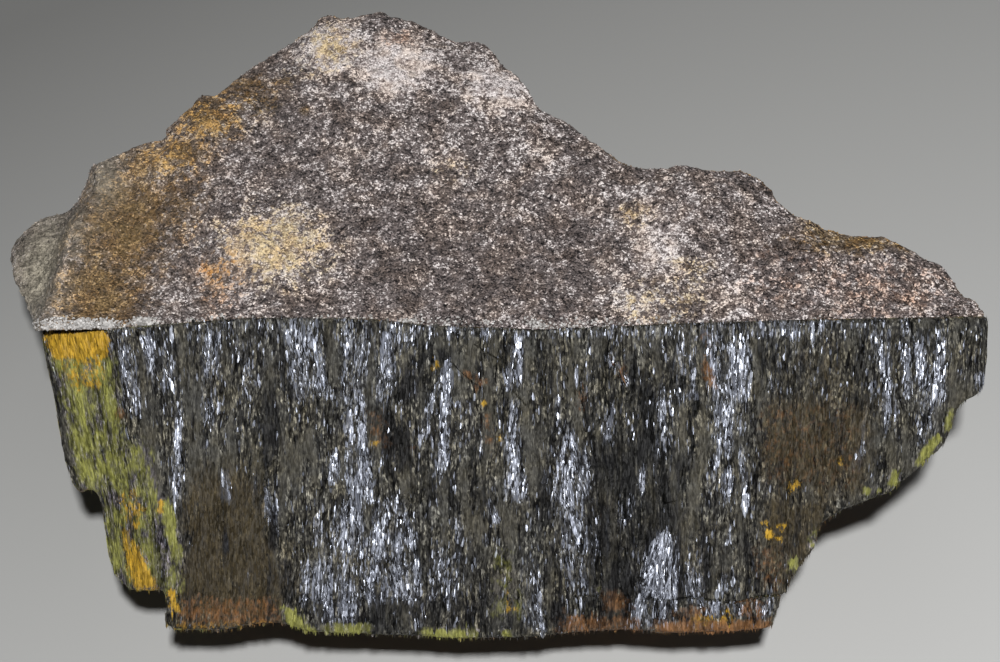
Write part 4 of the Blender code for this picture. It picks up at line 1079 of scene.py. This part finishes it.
def grainShades(tree, cells, coarse, clouds, grainy):
    # each grain's place between the darkest and the whitest, as a colour
    levels, pale = rock["levels"], attributeValue(tree, "pale")
    wisp = placeGroup(tree, patch, {
        "Mask": pale, "Noise": grainy, "Softness": rock["edges"]["softness"]})["Mask"]
    level = plus(tree, times(tree, cells["Value"], levels["cells"]),
                 times(tree, coarse["Value"], levels["coarse"]))
    plain = times(tree, attributeValue(tree, "plain"), levels["plain"])
    level = minus(tree, level, plain, levels["base"])
    for name, value in (*clouds.items(), ("wisp", wisp)):
        level = plus(tree, level, times(tree, value, levels[name]))
    # pale patches are a light paste with few dark grains
    spread, middle = rock["paste"]
    paste = plus(tree, times(tree, level, spread), middle)
    pasty = times(tree, wisp, rampValue(tree, pale, 0.2, 0.7))
    level = addNode(tree, "ShaderNodeMix", {0: pasty, 2: level, 3: paste}).outputs[0]
    steps = addNode(tree, "ShaderNodeValToRGB", {0: level})
    stops = steps.color_ramp.elements
    while len(stops) < len(rock["grainColours"]):
        stops.new(0.5)
    for stop, (position, shade) in zip(stops, rock["grainColours"]):
        stop.position, stop.color = position, (*shade, 1)
    return steps.outputs[0]


def rockMaterial():
    material, tree, shader = startMaterial("granularRock")
    cells, coarse = placeGroup(tree, grains, rock["cells"]), placeGroup(tree, grains, rock["coarse"])
    clouds = {name: softValue(tree, *rock[name]) for name in ("cloud", "mottled", "broad")}
    loose = placeGroup(tree, ragged, {"Place": slabVector(tree), "Run": 0.0020, "Seed": 2.0})["Value"]
    # a patch ends grain by grain
    offGrain = times(tree, minus(tree, coarse["Second"], 0.5), rock["edges"]["grain"])
    grainy = plus(tree, loose, offGrain)
    colour = grainShades(tree, cells, coarse, clouds, grainy)
    warmed = mixColour(tree, 1.0, colour, rock["warmTint"], blend="MULTIPLY")
    colour = mixColour(tree, softValue(tree, *rock["warm"]), colour, warmed)
    for name in ("red", "ochre", "yellow"):
        tinted = mixColour(tree, 1.0, colour, rock[name + "Tint"], blend="MULTIPLY")
        mask = maskFrom(tree, name, grainy, rock["edges"]["softness"])
        colour = mixColour(tree, mask, colour, tinted)
    # the even brown film on the left flank, and the smooth grey lump at the left end
    film = scaleVector(tree, rock["stainColour"], mapRange(tree, cells["Value"], *rock["filmGrain"]))
    uneven = mapRange(tree, clouds["mottled"], *rock["filmCloud"])
    stain = times(tree, attributeValue(tree, "ochre"), uneven, clamp=True)
    colour = mixColour(tree, stain, colour, film)
    lump = scaleVector(tree, rock["lumpColour"], mapRange(tree, clouds["cloud"], *rock["lumpCloud"]))
    smooth = times(tree, attributeValue(tree, "grey"), rock["lumpCover"], clamp=True)
    colour = mixColour(tree, smooth, colour, lump)
    tree.links.new(colour, shader.inputs["Base Color"])
    tree.links.new(mapRange(tree, cells["Second"], *rock["rough"]), shader.inputs["Roughness"])
    shader.inputs["Specular IOR Level"].default_value = rock["specular"]
    linkBump(tree, shader, cells["Height"], coarse["Height"], 1.0)
    return material


def seamBand(places, normals):
    # where the white druse grows: a ragged band just over the contact, most of it at the left
    u, v = places[:, 0], places[:, 1]
    strong = smoothStep(-58, -54, u) * smoothStep(-8, -14, u)
    weak = np.maximum(0.5 * np.exp(-((u - 6) / 3) ** 2), 0.12)
    band = np.maximum(strong, weak) * np.clip(0.55 + 1.3 * softNoise(places, (1.8, 1.8, 1.8), 7), 0, 1)
    reach = 1.1 + 0.5 * softNoise(places, (1.1, 1.1, 1.1), 8)
    return band * smoothStep(reach, 0.2, v) * smoothStep(-0.9, -0.3, normals[:, 1])


def dressRock(material):
    mesh = stoneSurface("matrix_rock", rock["voxel"])
    openCracks(mesh, rock["cracks"])
    places, normals = vertexPlaces(mesh), vertexNormals(mesh)
    free, contact = freePlaces(places, normals, -1)
    relief = np.zeros(len(places))
    for seed, (size, rise) in enumerate(rock["lumps"]):
        relief += rise * softNoise(places, (size, size, size), seed + 9)
    size, rise = rock["grain"]
    relief += rise * (0.45 - cellNoise(places, size, 4))
    shift = normals * (relief * free)[:, None]
    shift[:, 1] -= slab["contactGrow"] * contact
    moveVertices(mesh, shift)
    # the spots belong to the broad front face; the sides and the back have patches of their own
    top = smoothStep(0.1, 0.45, normals[:, 2])
    finishes = {name: spots(places, rock[name])
                for name in ("pale", "yellow", "ochre", "red", "plain", "grey")}
    for name, (strength, low, high, size, seed) in rock["films"].items():
        film = strength * smoothStep(low, high, softNoise(places, (size, size, size), seed))
        finishes[name] = finishes[name] * top + film * (1 - top)
    storeNumbers(mesh, {**finishes, "seam": seamBand(places, normals), "free": 1.0 * free})
    return finishStone("rock_body", mesh, ~free, material)


# Loose grains on the rock and the white druse along the seam: sizes in mm, and the attribute they follow
grainKinds = {
    "dark": {"count": 7000, "size": (0.20, 0.50), "where": "free", "seed": 21},
    "pale": {"count": 5500, "size": (0.18, 0.45), "where": "pale", "seed": 25},
    "druse": {"count": 2300, "size": (0.20, 0.55), "where": "seam", "seed": 29},
}
druse = {
    "grainSize": 0.0003,
    "darkColour": (0.20, 0.19, 0.18),
    "paleColour": (0.62, 0.60, 0.58),
    "rough": 0.4,
}


def grainTree():
    # scatters broken grains over the surface that it is given, and gives back only the grains
    tree, given = startScatter("scatterGrains", ("Density", "Smallest", "Largest"),
                               {"Where": "String", "Seed": "Int", "Material": "Material"})
    points = spreadPoints(tree, given, (namedValue(tree, given["Where"]),))
    whole = 2 * math.pi
    turn = addNode(tree, "FunctionNodeEulerToRotation", {
        0: randomBetween(tree, given, (0, 0, 0), (whole, whole, whole), 1)})
    shape = randomBetween(tree, given, (0.6, 0.6, 0.6), (1.0, 1.0, 1.0), 2)
    scale = scaleVector(tree, shape, randomBetween(tree, given, given["Smallest"], given["Largest"], 3))
    grain = addNode(tree, "GeometryNodeMeshUVSphere", {"Segments": 5, "Rings": 3, "Radius": 0.5 * mm})
    return endScatter(tree, given, placeShapes(tree, points, grain.outputs[0], turn.outputs[0], scale))


def druseMaterial():
    material, tree, shader = startMaterial("whiteDruse")
    cells = placeGroup(tree, grains, {"Size": druse["grainSize"]})
    colour = mixColour(tree, cells["Value"], druse["darkColour"], druse["paleColour"])
    tree.links.new(colour, shader.inputs["Base Color"])
    shader.inputs["Roughness"].default_value = druse["rough"]
    return material


def growGrains(body, materials):
    tree = grainTree()
    for kind, spec in grainKinds.items():
        piece = runTree("grains_" + kind, tree, body, {
            "Density": spec["count"] / surfaceArea(body.data, spec["where"]), "Where": spec["where"],
            "Smallest": spec["size"][0], "Largest": spec["size"][1], "Seed": spec["seed"],
            "Material": materials[kind]})
        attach(piece, "root")


silky = goethiteMaterial()
goethiteBody = dressGoethite(silky)
growNeedles(goethiteBody, silky)
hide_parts("goethite_needles")
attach(goethiteBody, "root")

granular = rockMaterial()
rockBody = dressRock(granular)
growGrains(rockBody, {"dark": granular, "pale": granular, "druse": druseMaterial()})
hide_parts("matrix_rock")
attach(rockBody, "root")

# Floor, light and camera. Lights stand out from, up and right of the point the camera looks at, in metres.
studio = {
    "floorSize": 3.0,
    "floorShadeColours": ((0.15, 0.15, 0.145), (0.50, 0.50, 0.49)),       # painted shade: far to near, darker away from the lights
    "floorShadeSlope": (0.95, -1.85, 0.343),     # how the painted shade changes for each metre in x and y, and at 0
    "floorRough": 0.8,
    "cameraDistance": 0.289,
    "cameraNearest": 0.01,
    "aimV": -0.734,
    "lens": 85.0,
    "key": {"out": 0.45, "up": 0.067, "right": 0.008, "power": 2.75, "size": 0.020},
    "fill": {"out": 0.16, "up": -0.18, "right": 0.34, "power": 0.02, "size": 0.2},
    "back": {"out": -0.05, "up": 0.35, "right": -0.02, "power": 0.16, "size": 0.2},
    "worldColour": (0.86, 0.88, 0.92),
    "worldStrength": 0.028,
    "worldShown": 0.35,         # how bright the world looks past the floor's edge
}


def layFloor():
    half = studio["floorSize"] / 2
    mesh = bpy.data.meshes.new("floor")
    mesh.from_pydata([(-half, -half, 0), (half, -half, 0), (half, half, 0), (-half, half, 0)], [],
                     [(0, 1, 2, 3)])
    paper, tree, shader = startMaterial("floorPaper")
    # painted shade: the floor is painted darker towards the back and the left, as the lights' falloff would
    # leave it
    xSlope, ySlope, start = studio["floorShadeSlope"]
    far, near = (shade[0] for shade in studio["floorShadeColours"])
    run = addNode(tree, "ShaderNodeVectorMath", {0: objectPlace(tree), 1: (xSlope, ySlope, 0)},
                  operation="DOT_PRODUCT").outputs["Value"]
    share = mathNode(tree, "DIVIDE", plus(tree, run, start - far), near - far, clamp=True)
    tree.links.new(mixColour(tree, share, *studio["floorShadeColours"]), shader.inputs["Base Color"])
    shader.inputs["Roughness"].default_value = studio["floorRough"]
    mesh.materials.append(paper)
    linkObject("floor", mesh)


def setCamera(aim, outward):
    camera = linkObject("camera", bpy.data.cameras.new("camera"))
    camera.location = aim + outward * studio["cameraDistance"]
    camera.rotation_euler = (math.radians(slab["faceSlope"]), 0, 0)
    camera.data.lens = studio["lens"]
    camera.data.clip_start = studio["cameraNearest"]
    bpy.context.scene.camera = camera


def hangLights(aim, right, up, outward):
    for name in ("key", "fill", "back"):
        spec = studio[name]
        light = linkObject(name, bpy.data.lights.new(name, "AREA"))
        light.location = aim + outward * spec["out"] + up * spec["up"] + right * spec["right"]
        light.rotation_euler = (aim - light.location).to_track_quat("-Z", "Y").to_euler()
        light.data.energy = spec["power"]
        light.data.size = spec["size"]


def setWorld():
    world = bpy.data.worlds.new("studio")
    world.use_nodes = True
    background = world.node_tree.nodes["Background"]
    background.inputs["Color"].default_value = (*studio["worldColour"], 1)
    ray = addNode(world.node_tree, "ShaderNodeLightPath").outputs["Is Camera Ray"]
    strength = mapRange(world.node_tree, ray, studio["worldStrength"], studio["worldShown"])
    world.node_tree.links.new(strength, background.inputs["Strength"])
    bpy.context.scene.world = world
    bpy.context.scene.view_settings.view_transform = "Standard"


aimPoint = slabToWorld @ Vector((0, studio["aimV"], 0))
toRight, toUp, toOut = (Vector(slabAxes[:, i]) for i in range(3))
layFloor()
setCamera(aimPoint, toOut)
hangLights(aimPoint, toRight, toUp, toOut)
setWorld()
print("studio set")
